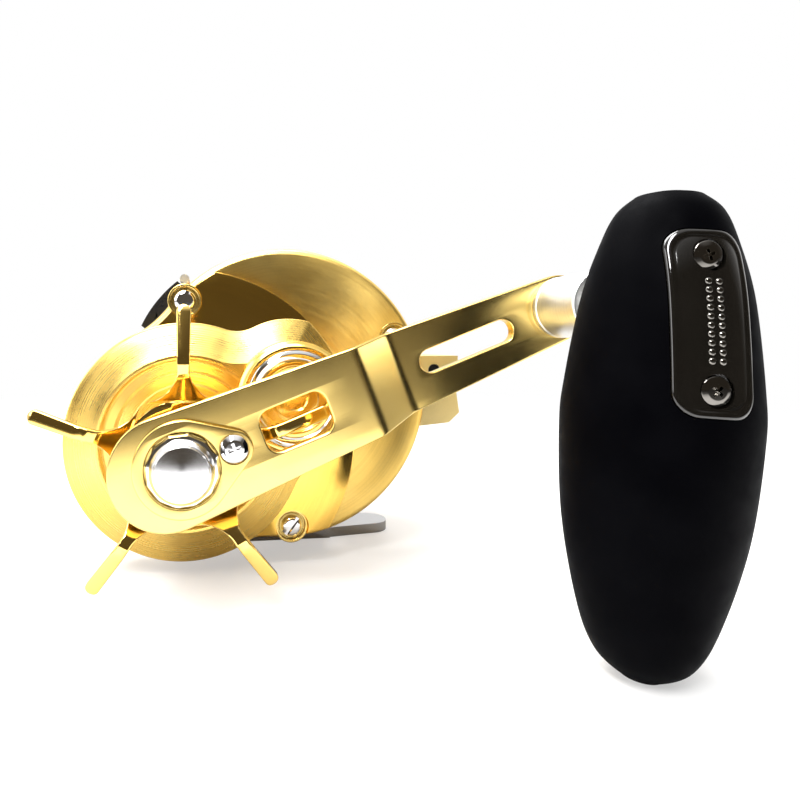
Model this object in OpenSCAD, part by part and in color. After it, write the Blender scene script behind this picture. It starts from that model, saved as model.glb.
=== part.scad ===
// Round star-drag reel with a level-wind, seen with its handle side towards -Y.
// Millimetres, +Z up, +X towards the rod tip.
// The origin is the middle of the underside of the foot, where the reel sits on a rod.

/* [Body] */
// Radius of the two round side plates
plate_r = 29; // [28.8:0.1:30]
// Height of the spool axis above the underside of the foot
spool_z = 34; // [33.5:0.1:36]
// Half of the space between the two frame walls
half_gap = 11.5; // [11.5:0.1:12]

/* [Spool] */
// Radius of the spool flanges
flange_r = 20.5; // [19:0.1:20.8]
// Radius of the spool arbor
arbor_r = 8.5; // [7:0.1:10]

/* [Gears] */
// Tooth module of every gear
tooth_module = 0.5; // [0.5]
// Teeth on the drive gear
drive_teeth = 72; // [72]
// Teeth on the pinion
pinion_teeth = 14; // [14]
// Teeth on the small gear of the spool
spool_gear_teeth = 16; // [16]
// Teeth on the idler gear
idler_teeth = 48; // [48]
// Teeth on the worm gear
worm_gear_teeth = 14; // [14]

/* [Handle] */
// Reach from the drive axis to the grip spindle
arm_reach = 68.5; // [66:0.5:76]
// Angle of the arm above the horizontal, in degrees
arm_angle = 21.3; // [0:0.1:40]
// Thickness of the arm
arm_t = 2; // [1.6:0.1:2.2]
// Length of the grip
grip_len = 63.5; // [60:0.1:63.6]
// Lean of the grip from the vertical, in degrees
grip_lean = 3.8; // [0:0.1:6]

/* [Star] */
// Radius over the tips of the star
star_r = 25; // [22:0.5:26]

/* [Hidden] */
$fn = 64;

// Running clearance between flat moving faces
gap = 0.15;

gold = "goldenrod";
silver = "silver";

// Centre distances and the places of the axes, in (X, height above the spool axis)
function pitch_r(teeth) = tooth_module * teeth / 2;
function polar(r, a) = [r * cos(a), r * sin(a)];
drive_dir = 204;
drive_axis = polar(pitch_r(drive_teeth) + pitch_r(pinion_teeth), drive_dir);
worm_axis = [30.6, -2];
idler_a = pitch_r(spool_gear_teeth) + pitch_r(idler_teeth);
idler_b = pitch_r(worm_gear_teeth) + pitch_r(idler_teeth);
worm_dist = norm(worm_axis);
worm_dir = atan2(worm_axis[1], worm_axis[0]);
idler_off = acos((idler_a * idler_a + worm_dist * worm_dist - idler_b * idler_b)
                 / (2 * idler_a * worm_dist));
idler_dir = worm_dir - idler_off;
idler_axis = polar(idler_a, idler_dir);
guide_rod_axis = [34.4, -3.4];

// Distances outwards from the middle plane of the reel, towards the handle
wall_in = half_gap;
wall_out = half_gap + 2;
disc_h = 21;
platform_h = 23.6;
arm_h = 49;
arm_drop = 5;
joggle_from = 31;
joggle_to = 38;
cover_r = 22.7;
platform_r = 33;
grip_axis_h = 67;
grip_top = 13.3;

// Puts children on an axis across the reel: local +Z points outwards on the handle side
module axial(p = [0, 0], h = 0)
    translate([p[0], -h, spool_z + p[1]]) rotate([90, 0, 0]) children();

module ring(ro, ri, t)
    difference() {
        cylinder(r = ro, h = t);
        translate([0, 0, -1]) cylinder(r = ri, h = t + 2);
    }

module sector(r, a1, a2)
    polygon([[0, 0], for (k = [0:6]) polar(1.3 * r, a1 + (a2 - a1) * k / 6)]);

module arc_bar(ro, ri, a1, a2)
    intersection() {
        difference() {
            circle(ro);
            circle(ri);
        }
        sector(ro, a1, a2);
    }

// Two round ends joined by their outer tangent lines, the first one round the origin
module taper(r1, r2, d) {
    a = acos((r1 - r2) / d);
    steps = 24;
    polygon(concat(
        [for (k = [0:steps]) polar(r1, a + (360 - 2 * a) * k / steps)],
        [for (k = [0:steps]) [d, 0] + polar(r2, -a + 2 * a * k / steps)]));
}

// Two circles joined by an inner fillet of radius k on both sides
module blended_pair(r1, r2, d, dir, k) {
    ca = ((r1 + k) * (r1 + k) + d * d - (r2 + k) * (r2 + k)) / (2 * (r1 + k) * d);
    a = acos(ca);
    rotate(dir) {
        circle(r1);
        translate([d, 0]) circle(r2);
        difference() {
            polygon([[0, 0], polar(r1 + k, a), [d, 0], polar(r1 + k, -a)]);
            for (s = [-1, 1]) translate(polar(r1 + k, s * a)) circle(k);
        }
    }
}

module plate_outline(inset = 0)
    blended_pair(plate_r - inset, cover_r - inset, norm(drive_axis), drive_dir, 24 + inset);

module screw_head(r, t, slot_w = 0.9, slot_l = 2.6)
    difference() {
        union() {
            cylinder(r = r, h = t * 0.6);
            translate([0, 0, t * 0.6]) cylinder(r1 = r, r2 = r * 0.72, h = t * 0.4);
        }
        translate([0, 0, t]) cube([2 * slot_l, slot_w, t], center = true);
    }

/* ---- gears ---- */
pressure_angle = 20;
function inv(a) = tan(a) - a * PI / 180;
// Half of a tooth's angle at radius r, in degrees, with a little backlash
function tooth_half(teeth, r, backlash) =
    let (rb = pitch_r(teeth) * cos(pressure_angle), ar = acos(min(1, rb / max(r, rb))))
    90 / teeth + (inv(pressure_angle) - inv(ar)) * 180 / PI - backlash / r * 90 / PI;
function tooth_points(teeth, phase, backlash) =
    let (rp = pitch_r(teeth), add = 0.8 * tooth_module, ded = tooth_module)
    [for (i = [0:teeth - 1])
        let (c = phase + i * 360 / teeth)
        for (p = [[-ded, -1], [-0.3 * add, -1], [0.4 * add, -1], [add, -1],
                  [add, 1], [0.4 * add, 1], [-0.3 * add, 1], [-ded, 1]])
            polar(rp + p[0], c + p[1] * tooth_half(teeth, rp + p[0], backlash))];
module gear_2d(teeth, phase = 0)
    polygon(tooth_points(teeth, phase, 0.07));
// Phase of a gear that meets another along the direction dir from the first
function mesh_phase(dir, teeth_a, phase_a, teeth_b) =
    dir + 180 + 180 / teeth_b - (phase_a - dir) * teeth_a / teeth_b;

drive_phase = 0;
pinion_phase = mesh_phase(drive_dir + 180, drive_teeth, drive_phase, pinion_teeth);
spool_gear_phase = 0;
idler_phase = mesh_phase(idler_dir, spool_gear_teeth, spool_gear_phase, idler_teeth);
idler_worm = worm_axis - idler_axis;
worm_gear_phase = mesh_phase(atan2(idler_worm[1], idler_worm[0]), idler_teeth, idler_phase,
                             worm_gear_teeth);

/* ---- frame and foot ---- */
// Screws of the handle side: place and height of the head's seat
screw_spots = [[-20, 18.2, 21.8], [0.8, -26, 21.8], [22.3, 11, 20.2]];
rivet_x = 6;
rivet_y = 4;
foot_top = 5.8;

// Front block that carries the level-wind, seen from the handle side
module block_2d(top)
    polygon([[20, top], [36.6, top], [36.2, 0], [36.9, -4.5], [34.6, -6.6], [26, -7.4], [20, -7.4]]);

module frame()
    color(gold) difference() {
        union() {
            axial([0, 0], wall_in) linear_extrude(2) {
                plate_outline(1.2);
                block_2d(6.2);
            }
            axial([0, 0], -wall_out) linear_extrude(2) {
                circle(plate_r - 1.2);
                block_2d(6.2);
            }
            // bars between the walls: bottom deck, rear, front and top
            axial([0, 0], -wall_in - 1) linear_extrude(2 * half_gap + 2) {
                arc_bar(plate_r - 1.6, 23.4, 246, 294);
                arc_bar(plate_r - 1.6, 23.4, 184, 208);
                arc_bar(plate_r - 1.6, 23.4, 312, 330);
                arc_bar(plate_r - 1.6, 24.4, 62, 72);
            }
            // pedestal of the foot
            translate([-12, -6.5, foot_top]) cube([24, 13, 4]);
        }
        // spool opening in the palm wall and passage of the spool shaft in the handle wall
        axial([0, 0], -wall_out - 1) cylinder(r = flange_r + 0.6, h = 4);
        axial([0, 0], wall_in - 1) cylinder(r = 6.4, h = 4);
        // seat of the drive shaft bush
        axial(drive_axis, wall_in - 1) cylinder(r = 4, h = 4);
        // slot for the tab of the thumb bar
        axial([-22.9, 12.3 - 5.6 - clutch_travel], wall_in - 1)
            cube([2.6, 5.6 + clutch_travel, 4]);
        // worm bush seats, guide rod holes and hood screw holes
        for (h = [wall_in - 1, -wall_out - 1]) {
            axial(worm_axis, h) cylinder(r = 3, h = 4);
            axial(guide_rod_axis, h) cylinder(r = 1, h = 4);
        }
        for (x = hood_screw_x) axial([x, hood_screw_z], wall_in - 1) cylinder(r = 0.75, h = 4);
        // the idler gear passes the edge of the palm wall
        axial(idler_axis, -wall_out - 1) cylinder(r = 12.8, h = 1.4);
        for (p = screw_spots) axial(p, wall_in - 1) cylinder(r = 1.25, h = 4);
        for (a = palm_screw_dirs) axial(polar(palm_screw_r, a), -wall_out - 1)
            cylinder(r = 1.25, h = 4);
        for (x = [-rivet_x, rivet_x]) for (y = [-rivet_y, rivet_y])
            translate([x, y, 0]) cylinder(r = 1, h = 14);
        // flat seat of the foot
        translate([-40, -20, -1]) cube([80, 40, 1 + foot_top]);
    }

module reel_foot()
    color(silver) difference() {
        union() {
            // two tapered toes that slide under the hoods of a reel seat
            for (a = [0, 180]) rotate(a) translate([8, 0, 0]) linear_extrude(2.2) taper(6.5, 4.4, 14.5);
            translate([-12, -6.5, 0]) cube([24, 13, foot_top]);
        }
        for (x = [-rivet_x, rivet_x]) for (y = [-rivet_y, rivet_y]) translate([x, y, -1]) {
            cylinder(r = 1, h = 14);
            cylinder(r = 1.7, h = 2.4);
        }
    }

module foot_rivets()
    color(silver) for (x = [-rivet_x, rivet_x]) for (y = [-rivet_y, rivet_y])
        translate([x, y, 0.3]) {
            cylinder(r = 1.68, h = 1.1);
            cylinder(r = 0.98, h = 8);
        }

/* ---- handle side ---- */
post_at = 11.2;
yoke_dir = drive_dir - 90;

module handle_side_plate()
    color(gold) difference() {
        union() {
            axial([0, 0], wall_out) linear_extrude(disc_h - wall_out - 0.8) plate_outline();
            // rounded rim and face
            axial([0, 0], disc_h - 0.8) linear_extrude(0.5) plate_outline(0.35);
            axial([0, 0], disc_h - 0.3) linear_extrude(0.3) plate_outline(0.9);
            // raised round platform over the gears
            axial(drive_axis, disc_h - 1) linear_extrude(platform_h - disc_h + 1) intersection() {
                circle(platform_r);
                translate(-drive_axis) plate_outline(1.3);
            }
            // boss of the tension knob
            axial([0, 0], disc_h) cylinder(r = 8, h = 28.4 - disc_h);
            for (p = screw_spots) axial(p, wall_out) cylinder(r = 3.3, h = p[2] + 0.9 - wall_out);
        }
        difference() {
            union() {
                axial([0, 0], wall_out - 1) linear_extrude(disc_h - wall_out - 1) plate_outline(2.2);
                axial(drive_axis, wall_out - 1) linear_extrude(platform_h - wall_out - 0.2)
                    intersection() {
                        circle(platform_r - 3);
                        translate(-drive_axis) plate_outline(2.8);
                    }
            }
            // posts that guide the yoke, and the bosses of the screws
            for (s = [-1, 1]) axial(polar(s * post_at, yoke_dir), 17.6) cylinder(r = 0.85, h = 8);
            for (p = screw_spots) axial(p, wall_out) cylinder(r = 3, h = 20);
        }
        // pinion space, bearing seat and spool shaft bore
        axial([0, 0], wall_out) cylinder(r = 4.6, h = 23 - wall_out);
        axial([0, 0], 22.5) cylinder(r = 3.5, h = 3.1);
        axial([0, 0], 20) cylinder(r = 1.8, h = 20);
        // passage of the roller clutch
        axial(drive_axis, 15) cylinder(r = 8.2, h = 20);
        for (p = screw_spots) axial(p, wall_out - 1) {
            cylinder(r = 1.35, h = 20);
            translate([0, 0, p[2] - wall_out + 1]) cylinder(r = 2.7, h = 6);
        }
    }

lobe_r = 14.8;
module cover_outline(inset = 0)
    intersection() {
        blended_pair(cover_r - inset, lobe_r - inset, norm(drive_axis), drive_dir - 180, 7 + inset);
        circle(platform_r - inset);
    }

module gear_cover()
    color(gold) difference() {
        union() for (k = [0:4])
            axial(drive_axis, platform_h + 0.64 * k) linear_extrude(0.64) cover_outline(1.45 * k);
        // stepped recess round the star
        axial(drive_axis, 25.6) cylinder(r = 15.9, h = 8);
        axial(drive_axis, 25) cylinder(r = 13, h = 8);
        axial(drive_axis, platform_h - 1) cylinder(r = 8.05, h = 8);
        // round the boss of the tension knob
        axial([0, 0], platform_h - 1) cylinder(r = 8.1, h = 8);
        axial([0, 0], 25) cylinder(r = 11, h = 8);
    }

module side_plate_screws()
    color(silver) for (p = screw_spots) axial(p, 11.7) {
        cylinder(r = 1.2, h = p[2] + 0.05 - 11.7);
        translate([0, 0, p[2] + 0.02 - 11.7]) rotate(40) screw_head(2.5, 1.5);
    }

/* ---- palm side ---- */
palm_screw_dirs = [70, 190, 300];
palm_screw_r = 25.6;
idler_h = -15.9;

module palm_side_plate()
    color(gold) difference() {
        union() {
            axial([0, 0], -20) cylinder(r = plate_r, h = 20 - wall_out);
            axial([0, 0], -23) cylinder(r1 = plate_r - 6, r2 = plate_r - 0.7, h = 3);
            axial([0, 0], -24) cylinder(r = plate_r - 8, h = 1.2);
        }
        difference() {
            axial([0, 0], -20.4) cylinder(r = 26.4, h = 8);
            for (a = palm_screw_dirs) axial(polar(palm_screw_r, a), -22) cylinder(r = 3.2, h = 10);
            // boss that holds the idler pin
            axial(idler_axis, -22) cylinder(r = 2.4, h = 22 - 16.1);
        }
        axial([0, 0], -22.9) cylinder(r = 9.3, h = 8);
        axial([0, 0], -26) cylinder(r = 5, h = 8);
        axial(idler_axis, idler_h - 0.2) cylinder(r = 12.8, h = 4);
        axial(worm_axis, idler_h - 0.2) cylinder(r = 4.2, h = 4);
        axial(idler_axis, -20) cylinder(r = 1, h = 8);
        for (a = palm_screw_dirs) axial(polar(palm_screw_r, a), -26) {
            cylinder(r = 1.35, h = 20);
            cylinder(r = 2.5, h = 6.4);
        }
    }

module palm_plate_screws()
    color(silver) for (a = palm_screw_dirs)
        axial(polar(palm_screw_r, a), -wall_in - 0.2) rotate([180, 0, 0]) {
            cylinder(r = 1.2, h = 7.98);
            translate([0, 0, 7.93]) rotate(a) screw_head(2.4, 1.7);
        }

module palm_bearing_cap()
    color(silver) axial([0, 0], -25.2) {
        cylinder(r1 = 6, r2 = 6.6, h = 0.6);
        translate([0, 0, 0.6]) cylinder(r = 6.6, h = 0.55);
        difference() {
            translate([0, 0, 1.1]) cylinder(r = 4.95, h = 4.6);
            translate([0, 0, 1.9]) cylinder(r = 3.5, h = 8);
        }
    }

/* ---- thumb bar and clutch ---- */
bar_top = [-20.9, 23.1];
bar_low = [-28.8, 13.3];
bar_run = bar_top - bar_low;
clutch_travel = 3;
yoke_leg = 8.5;
plate_top_h = wall_out + gap + 0.8;

module thumb_bar()
    color([0.08, 0.08, 0.09]) {
        // pressed plate between the side plates, a little crowned
        axial(bar_low, -11.2) rotate(atan2(bar_run[1], bar_run[0])) linear_extrude(22.4)
            intersection() {
                translate([0, -1.2]) square([norm(bar_run) - 0.6, 3]);
                translate([norm(bar_run) / 2, -25.4]) difference() {
                    circle(26.8);
                    circle(25);
                }
            }
        // two legs inside the frame walls
        for (h = [-11.2, 9.6]) axial([0, 0], h) linear_extrude(1.6)
            polygon([[-24.6, 6.9], [-20.7, 6.9], [-20.7, 12], [-22.6, 20.7], [-26.1, 16.6]]);
        // tab that works the clutch
        axial([-22.6, 7], 11.2) cube([1.9, 5, plate_top_h - 11.2]);
    }

module thumb_bar_pin()
    color(silver) axial(bar_top + [0.55, 0.5], -11.2) cylinder(r = 1, h = 22.4);

module clutch_plate()
    color("gray") axial([0, 0], wall_out + gap) {
        linear_extrude(0.8) difference() {
            polygon([[-20.7, 12], [-20.7, 7], [-12, 5.4], [-8.6, -5], [-5, -9.6], [7.8, -9.6],
                     [7.8, 6.4], [2, 12.6], [-8, 13.6]]);
            circle(4.6);
            translate([-4.6, 0]) square([9.2, clutch_travel]);
            translate([0, clutch_travel]) circle(4.6);
        }
        // ramps that lift the yoke as the plate slides down
        for (s = [-1, 1]) translate([polar(s * yoke_leg, yoke_dir)[0] - 1,
                                     polar(s * yoke_leg, yoke_dir)[1] + 1.27, 0.8])
            rotate([90, 0, 90]) linear_extrude(2)
                polygon([[0, 0], [2, 1.6], [2.6, 1.6], [2.6, 0]]);
    }

module pinion_yoke()
    color("gray") {
        axial([0, 0], 19.05) rotate(yoke_dir) linear_extrude(1.1) difference() {
            union() {
                translate([-12.8, -2.2]) square([25.6, 4.4]);
                circle(4.4);
            }
            circle(3.05);
            for (s = [-1, 1]) translate([s * post_at, 0]) circle(1);
        }
        for (s = [-1, 1]) axial(polar(s * yoke_leg, yoke_dir), 14.9) cylinder(r = 0.9, h = 4.3);
    }

module yoke_springs()
    color(silver) for (s = [-1, 1]) axial(polar(s * post_at, yoke_dir), 20.2) ring(1.7, 1.15, 2.1);

/* ---- spool ---- */
module spool()
    color(gold) axial() rotate_extrude()
        polygon([[1.5, -10.9], [6, -10.9], [7, -9.6], [flange_r - 0.4, -10.6],
                 [flange_r, -10.2], [flange_r, -9.6], [arbor_r + 1, -8.4], [arbor_r, -7.2],
                 [arbor_r, 7.2], [arbor_r + 1, 8.4], [flange_r, 9.6], [flange_r, 10.2],
                 [flange_r - 0.4, 10.6], [7, 9.6], [6, 10.9], [1.5, 10.9]]);

module spool_shaft()
    color(silver) {
        axial([0, 0], -23.25) cylinder(r = 1.48, h = 51.65);
        // cross pin that locks the spool to the pinion
        axial([0, 0], 15.5) rotate(pinion_phase) rotate([0, 90, 0])
            cylinder(r = 0.6, h = 5, center = true);
    }

module shaft_bearing(h)
    axial([0, 0], h) ring(3.48, 1.53, 2.5);
module pinion_bearing() color(silver) shaft_bearing(23.05);
module palm_bearing() color(silver) shaft_bearing(-23.2);

module spool_gear()
    color("white") axial([0, 0], idler_h) difference() {
        linear_extrude(1.9) gear_2d(spool_gear_teeth, spool_gear_phase);
        translate([0, 0, -1]) cylinder(r = 1.5, h = 5);
    }

module brake_rotor()
    color([0.15, 0.15, 0.16]) axial([0, 0], -17.1) difference() {
        cylinder(r = 7.4, h = 1);
        translate([0, 0, -1]) cylinder(r = 1.5, h = 5);
        for (a = [30:60:330]) rotate(a) translate([4.6, 0, -1]) cylinder(r = 1.1, h = 4);
    }

module brake_blocks()
    color("firebrick") axial([0, 0], -18.6) for (a = [0:60:300]) rotate(a)
        translate([5, 0, 0]) difference() {
            translate([-0.5, -1.3, 0]) cube([2.9, 2.6, 1.45]);
            translate([-1, -0.3, -1]) cube([1.2, 0.6, 4]);
        }

module brake_drum()
    color(silver) axial([0, 0], -20.38) ring(12, 9.4, 4);

/* ---- drive train ---- */
module pinion_gear()
    color("darkgoldenrod") axial([0, 0], 14.8) difference() {
        union() {
            linear_extrude(4.1) gear_2d(pinion_teeth, pinion_phase);
            cylinder(r = 2.9, h = 6.6);
            translate([0, 0, 5.65]) cylinder(r = 4, h = 0.95);
        }
        translate([0, 0, -1]) cylinder(r = 1.55, h = 12);
        rotate(pinion_phase) translate([-6, -0.72, -1]) cube([12, 1.44, 2.4]);
    }

module drive_gear()
    color("darkgoldenrod") axial(drive_axis, 15.1) difference() {
        union() {
            linear_extrude(3) gear_2d(drive_teeth, drive_phase);
            cylinder(r = 15.6, h = 5);
        }
        translate([0, 0, 1.2]) cylinder(r = 14.2, h = 6);
        translate([0, 0, -1]) cylinder(r = 3.6, h = 8);
        for (a = [0:60:300]) rotate(a) translate([9, 0, -1]) cylinder(r = 2, h = 2.1);
    }

module drive_shaft()
    color(silver) axial(drive_axis, 11.3) difference() {
        union() {
            cylinder(r = 3, h = 37.7);
            translate([0, 0, 2.35]) cylinder(r = 5.6, h = 1.2);
            translate([0, 0, 37.7]) cylinder(r = 2.4, h = 1.9);
        }
        // two flats that key the arm
        rotate(arm_angle) for (s = [-1, 1]) translate([-5, s * 4.7 - 2.4, 30]) cube([10, 4.8, 60]);
    }

module drive_shaft_bush()
    color("darkgoldenrod") axial(drive_axis, wall_in) ring(3.98, 3.05, 2);

module drag_friction_washers()
    color([0.12, 0.12, 0.12]) for (h = [16.35, 18.05]) axial(drive_axis, h) ring(13.9, 3.7, 0.7);

module drag_metal_washers()
    color(silver) for (h = [17.1, 18.8]) axial(drive_axis, h) ring(13.7, 3.2, 0.9);

module pressure_washer()
    color(silver) axial(drive_axis, 19.75) difference() {
        cylinder(r = 12, h = 1.2);
        translate([0, 0, -1]) cylinder(r = 3.1, h = 4);
    }

module clutch_sleeve()
    color(silver) axial(drive_axis, 21) ring(4.9, 3.1, 9.9);

module roller_clutch()
    color("gray") axial(drive_axis, 22) ring(8, 4.95, 6.4);

module spring_washers()
    color(silver) axial(drive_axis, 31) {
        ring(6.3, 3.1, 0.6);
        translate([0, 0, 0.7]) ring(6.3, 3.1, 0.6);
        translate([0, 0, 1.4]) ring(6.3, 3.1, 0.6);
    }

nut_flat_r = 5.2;
module star_nut()
    color("darkgoldenrod") axial(drive_axis, 33.4) difference() {
        cylinder(r = nut_flat_r, h = 4.4, $fn = 6);
        translate([0, 0, -1]) cylinder(r = 3.08, h = 8);
    }

module star_2d() {
    hub = 9.8;
    tip_w = 1.15;
    circle(hub);
    for (i = [0:4]) rotate(90 + 72 * i) {
        translate([star_r - tip_w, 0]) circle(tip_w);
        polygon([[0, 1.5], [16, 0.95], [star_r - tip_w, tip_w],
                 [star_r - tip_w, -tip_w], [16, -0.95], [0, -1.5]]);
        // webs that spread into the hub
        difference() {
            polygon([[7, -6.2], [15.4, -0.9], [15.4, 0.9], [7, 6.2]]);
            for (s = [-1, 1]) translate([15.2, s * 6.9]) circle(6);
        }
    }
}

module star_drag()
    color(gold) axial(drive_axis) difference() {
        union() {
            intersection() {
                translate([0, 0, 33]) linear_extrude(14) star_2d();
                rotate_extrude() polygon([[4.4, 40.6], [9.6, 40.6], [15.4, 44.5], [27, 41.2],
                                          [27, 43], [15.4, 46.3], [9.2, 42.4], [4.4, 42.4]]);
            }
            translate([0, 0, 34]) cylinder(r = 8, h = 7);
        }
        translate([0, 0, 32]) cylinder(r = nut_flat_r + 0.2, h = 7.6, $fn = 6);
        translate([0, 0, 30]) cylinder(r = 4.3, h = 20);
    }

/* ---- handle ---- */
retainer_x = 8.2;
module handle_frame(h) axial(drive_axis, h) rotate(arm_angle) children();

module handle_spacer()
    color(silver) axial(drive_axis, 38.3) ring(4.1, 3.1, arm_h - arm_t - 38.3);

module arm_side_profile() {
    low = arm_h - arm_drop;
    polygon([[-20, arm_h], [joggle_from, arm_h], [joggle_to, low], [arm_reach + 20, low],
             [arm_reach + 20, low - arm_t], [joggle_to - 0.7, low - arm_t],
             [joggle_from - 0.7, arm_h - arm_t], [-20, arm_h - arm_t]]);
}

module arm_outline()
    difference() {
        union() {
            translate([-2.5, 0]) taper(8.8, 5.6, arm_reach + 2.5);
        }
        // lightening window and slot
        translate([15, -3.4]) square([7, 6.8]);
        translate([13.1, -1.5]) square([10.9, 3]);
        for (x = [15.05, 22.05]) for (y = [-1.45, 1.45]) translate([x, y]) circle(1.95);
        translate([43.7, -1.95]) square([13.5, 3.9]);
        for (x = [43.7, 57.2]) translate([x, 0]) circle(1.95);
    }

module handle_arm()
    color(gold) handle_frame(0) difference() {
        intersection() {
            translate([0, 0, 30]) linear_extrude(30) arm_outline();
            translate([0, 30, 0]) rotate([90, 0, 0]) linear_extrude(60) arm_side_profile();
        }
        // hole for the shaft's flats, hole of the retainer screw, hole of the spindle
        intersection() {
            translate([0, 0, 40]) cylinder(r = 3.02, h = 20);
            translate([-5, -2.32, 40]) cube([10, 4.64, 20]);
        }
        translate([retainer_x, 0, 40]) cylinder(r = 0.9, h = 20);
        translate([arm_reach, 0, 30]) cylinder(r = 2.5, h = 20);
    }

module handle_nut()
    color(silver) handle_frame(arm_h) difference() {
        union() {
            for (a = [0, 30]) rotate(a) cylinder(r = 5.55, h = 1.9, $fn = 6);
            cylinder(r = 4.8, h = 3);
            translate([0, 0, 3]) cylinder(r1 = 4.8, r2 = 4.05, h = 1.1);
            translate([0, 0, 4.1]) cylinder(r1 = 4.05, r2 = 0.4, h = 0.8);
        }
        translate([0, 0, -1]) cylinder(r = 3.1, h = 1.1);
        translate([0, 0, -1]) cylinder(r = 2.45, h = 3.2);
    }

module nut_retainer()
    color(gold) handle_frame(arm_h) difference() {
        linear_extrude(1.2) taper(7.4, 2.9, retainer_x);
        translate([0, 0, -1]) cylinder(r = 5.6, h = 4);
        translate([retainer_x, 0, -1]) cylinder(r = 1.1, h = 4);
        translate([retainer_x, 0, 0.7]) cylinder(r = 2.35, h = 4);
    }

module retainer_screw()
    color(silver) handle_frame(arm_h) translate([retainer_x, 0, 0]) difference() {
        union() {
            translate([0, 0, -1.9]) cylinder(r = 0.88, h = 3);
            translate([0, 0, 0.72]) cylinder(r = 2.25, h = 0.7);
            translate([0, 0, 1.42]) cylinder(r1 = 2.25, r2 = 1.5, h = 0.4);
        }
        for (a = [0, 90]) rotate(a + 20) translate([-1.4, -0.3, 1.1]) cube([2.8, 0.6, 2]);
    }

/* ---- grip ---- */
knob_h = arm_h - arm_drop;
module knob_frame(h) handle_frame(h) translate([arm_reach, 0, 0]) children();

bearing_1 = 14.4;
bearing_2 = 25.4;
spindle_len = 28.5;
bore_depth = 30.4;
module knob_spindle()
    color(silver) knob_frame(knob_h) {
        translate([0, 0, -arm_t]) cylinder(r = 2.48, h = arm_t);
        translate([0, 0, -arm_t - 0.7]) cylinder(r = 3.4, h = 0.7);
        cylinder(r = 5.2, h = 11.4);
        cylinder(r = 1.98, h = spindle_len);
    }

module grip_bearings()
    color(silver) for (h = [bearing_1, bearing_2]) knob_frame(knob_h + h) ring(3.98, 2.03, 3);

module spindle_screw()
    color(silver) knob_frame(knob_h + spindle_len + 0.02) difference() {
        cylinder(r = 2.9, h = 1);
        translate([-2, -0.3, 0.5]) cube([4, 0.6, 2]);
    }

// Grip profile as [distance from the spindle towards the top, radius]
grip_drops = [[0, 4.1], [2.1, 6.2], [6, 7.8], [13.5, 9.8], [24.8, 11.3], [31.3, 11.6],
              [43.5, 10.7], [54.8, 8.3], [60.7, 5.9], [63.5, 2.5]];
grip_stations = [for (p = grip_drops) [grip_top - p[0] * grip_len / 63.5, p[1]]];
last = len(grip_stations) - 1;
function station(i) = grip_stations[max(0, min(last, i))];
function spline(i, t) =
    let (a = station(i - 1), b = station(i), c = station(i + 1), d = station(i + 2))
    0.5 * (2 * b + (c - a) * t + (2 * a - 5 * b + 4 * c - d) * t * t
           + (3 * b - a - 3 * c + d) * t * t * t);
grip_curve = [for (i = [0:last - 1]) for (t = [0:0.25:0.99]) spline(i, t), station(last)];

module grip_shape(inset = 0)
    rotate_extrude() polygon(concat(
        [[0, grip_top + 0.5 - inset], [grip_stations[0][1] - 1.2, grip_top + 0.35 - inset]],
        [for (p = grip_curve) [p[1] - inset, p[0]]],
        [[0, grip_top - grip_len - 0.4 + inset]]));

// Puts the grip's long axis upright through the spindle axis
module grip_frame()
    translate([drive_axis[0] + arm_reach * cos(arm_angle), -grip_axis_h,
               spool_z + drive_axis[1] + arm_reach * sin(arm_angle)])
        rotate([0, grip_lean, 0]) rotate(plate_turn) children();

plate_high = 7.7;
plate_low = 15;
plate_w = 9.6;
plate_t = 1.2;
// The cap plate faces a little towards the rear of the reel
plate_turn = -8;
// Places of the two plate screws: height from the spindle, and the grip's radius there
plate_screws = [[4.4, 8.6], [-11.8, 11.3]];

module plate_window(inset)
    rotate([90, 0, 0]) linear_extrude(16) {
        r = 2.8;
        w = plate_w / 2 - inset;
        for (x = [r - w, w - r], z = [plate_high - inset - r, r + inset - plate_low])
            translate([x, z]) circle(r);
        translate([-w, r + inset - plate_low])
            square([2 * w, plate_high + plate_low - 2 * inset - 2 * r]);
        translate([r - w, inset - plate_low])
            square([2 * (w - r), plate_high + plate_low - 2 * inset]);
    }

module grip()
    color([0.07, 0.07, 0.08]) difference() {
        grip_frame() difference() {
            grip_shape();
            // seat of the cap plate
            difference() {
                plate_window(0);
                grip_shape(plate_t);
            }
            for (p = plate_screws) translate([0, 0, p[0]]) rotate([90, 0, 0])
                cylinder(r = 0.9, h = 14);
        }
        // bore for the bearings, with a waist between them
        knob_frame(knob_h) cylinder(r = 3.2, h = bore_depth);
        knob_frame(knob_h) cylinder(r = 4, h = bearing_1 + 3.05);
        knob_frame(knob_h + bearing_2 - 0.05) cylinder(r = 4, h = bore_depth - bearing_2);
    }

module grip_plate()
    color([0.05, 0.05, 0.05]) grip_frame() difference() {
        intersection() {
            plate_window(0.08);
            difference() {
                grip_shape();
                grip_shape(plate_t - 0.05);
            }
        }
        for (p = plate_screws) translate([0, 0, p[0]]) rotate([90, 0, 0]) {
            cylinder(r = 1, h = 14);
            translate([0, 0, p[1] - 0.65]) cylinder(r = 1.9, h = 4);
        }
    }

module grip_plate_screws()
    color(silver) for (p = plate_screws) grip_frame() translate([0, 0, p[0]]) rotate([90, 0, 0])
        difference() {
            union() {
                translate([0, 0, p[1] - 2.4]) cylinder(r = 0.88, h = 2);
                translate([0, 0, p[1] - 0.63]) cylinder(r = 1.8, h = 0.6);
            }
            for (a = [0, 90]) rotate(a) translate([-1.1, -0.25, p[1] - 0.35]) cube([2.2, 0.5, 1]);
        }

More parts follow.
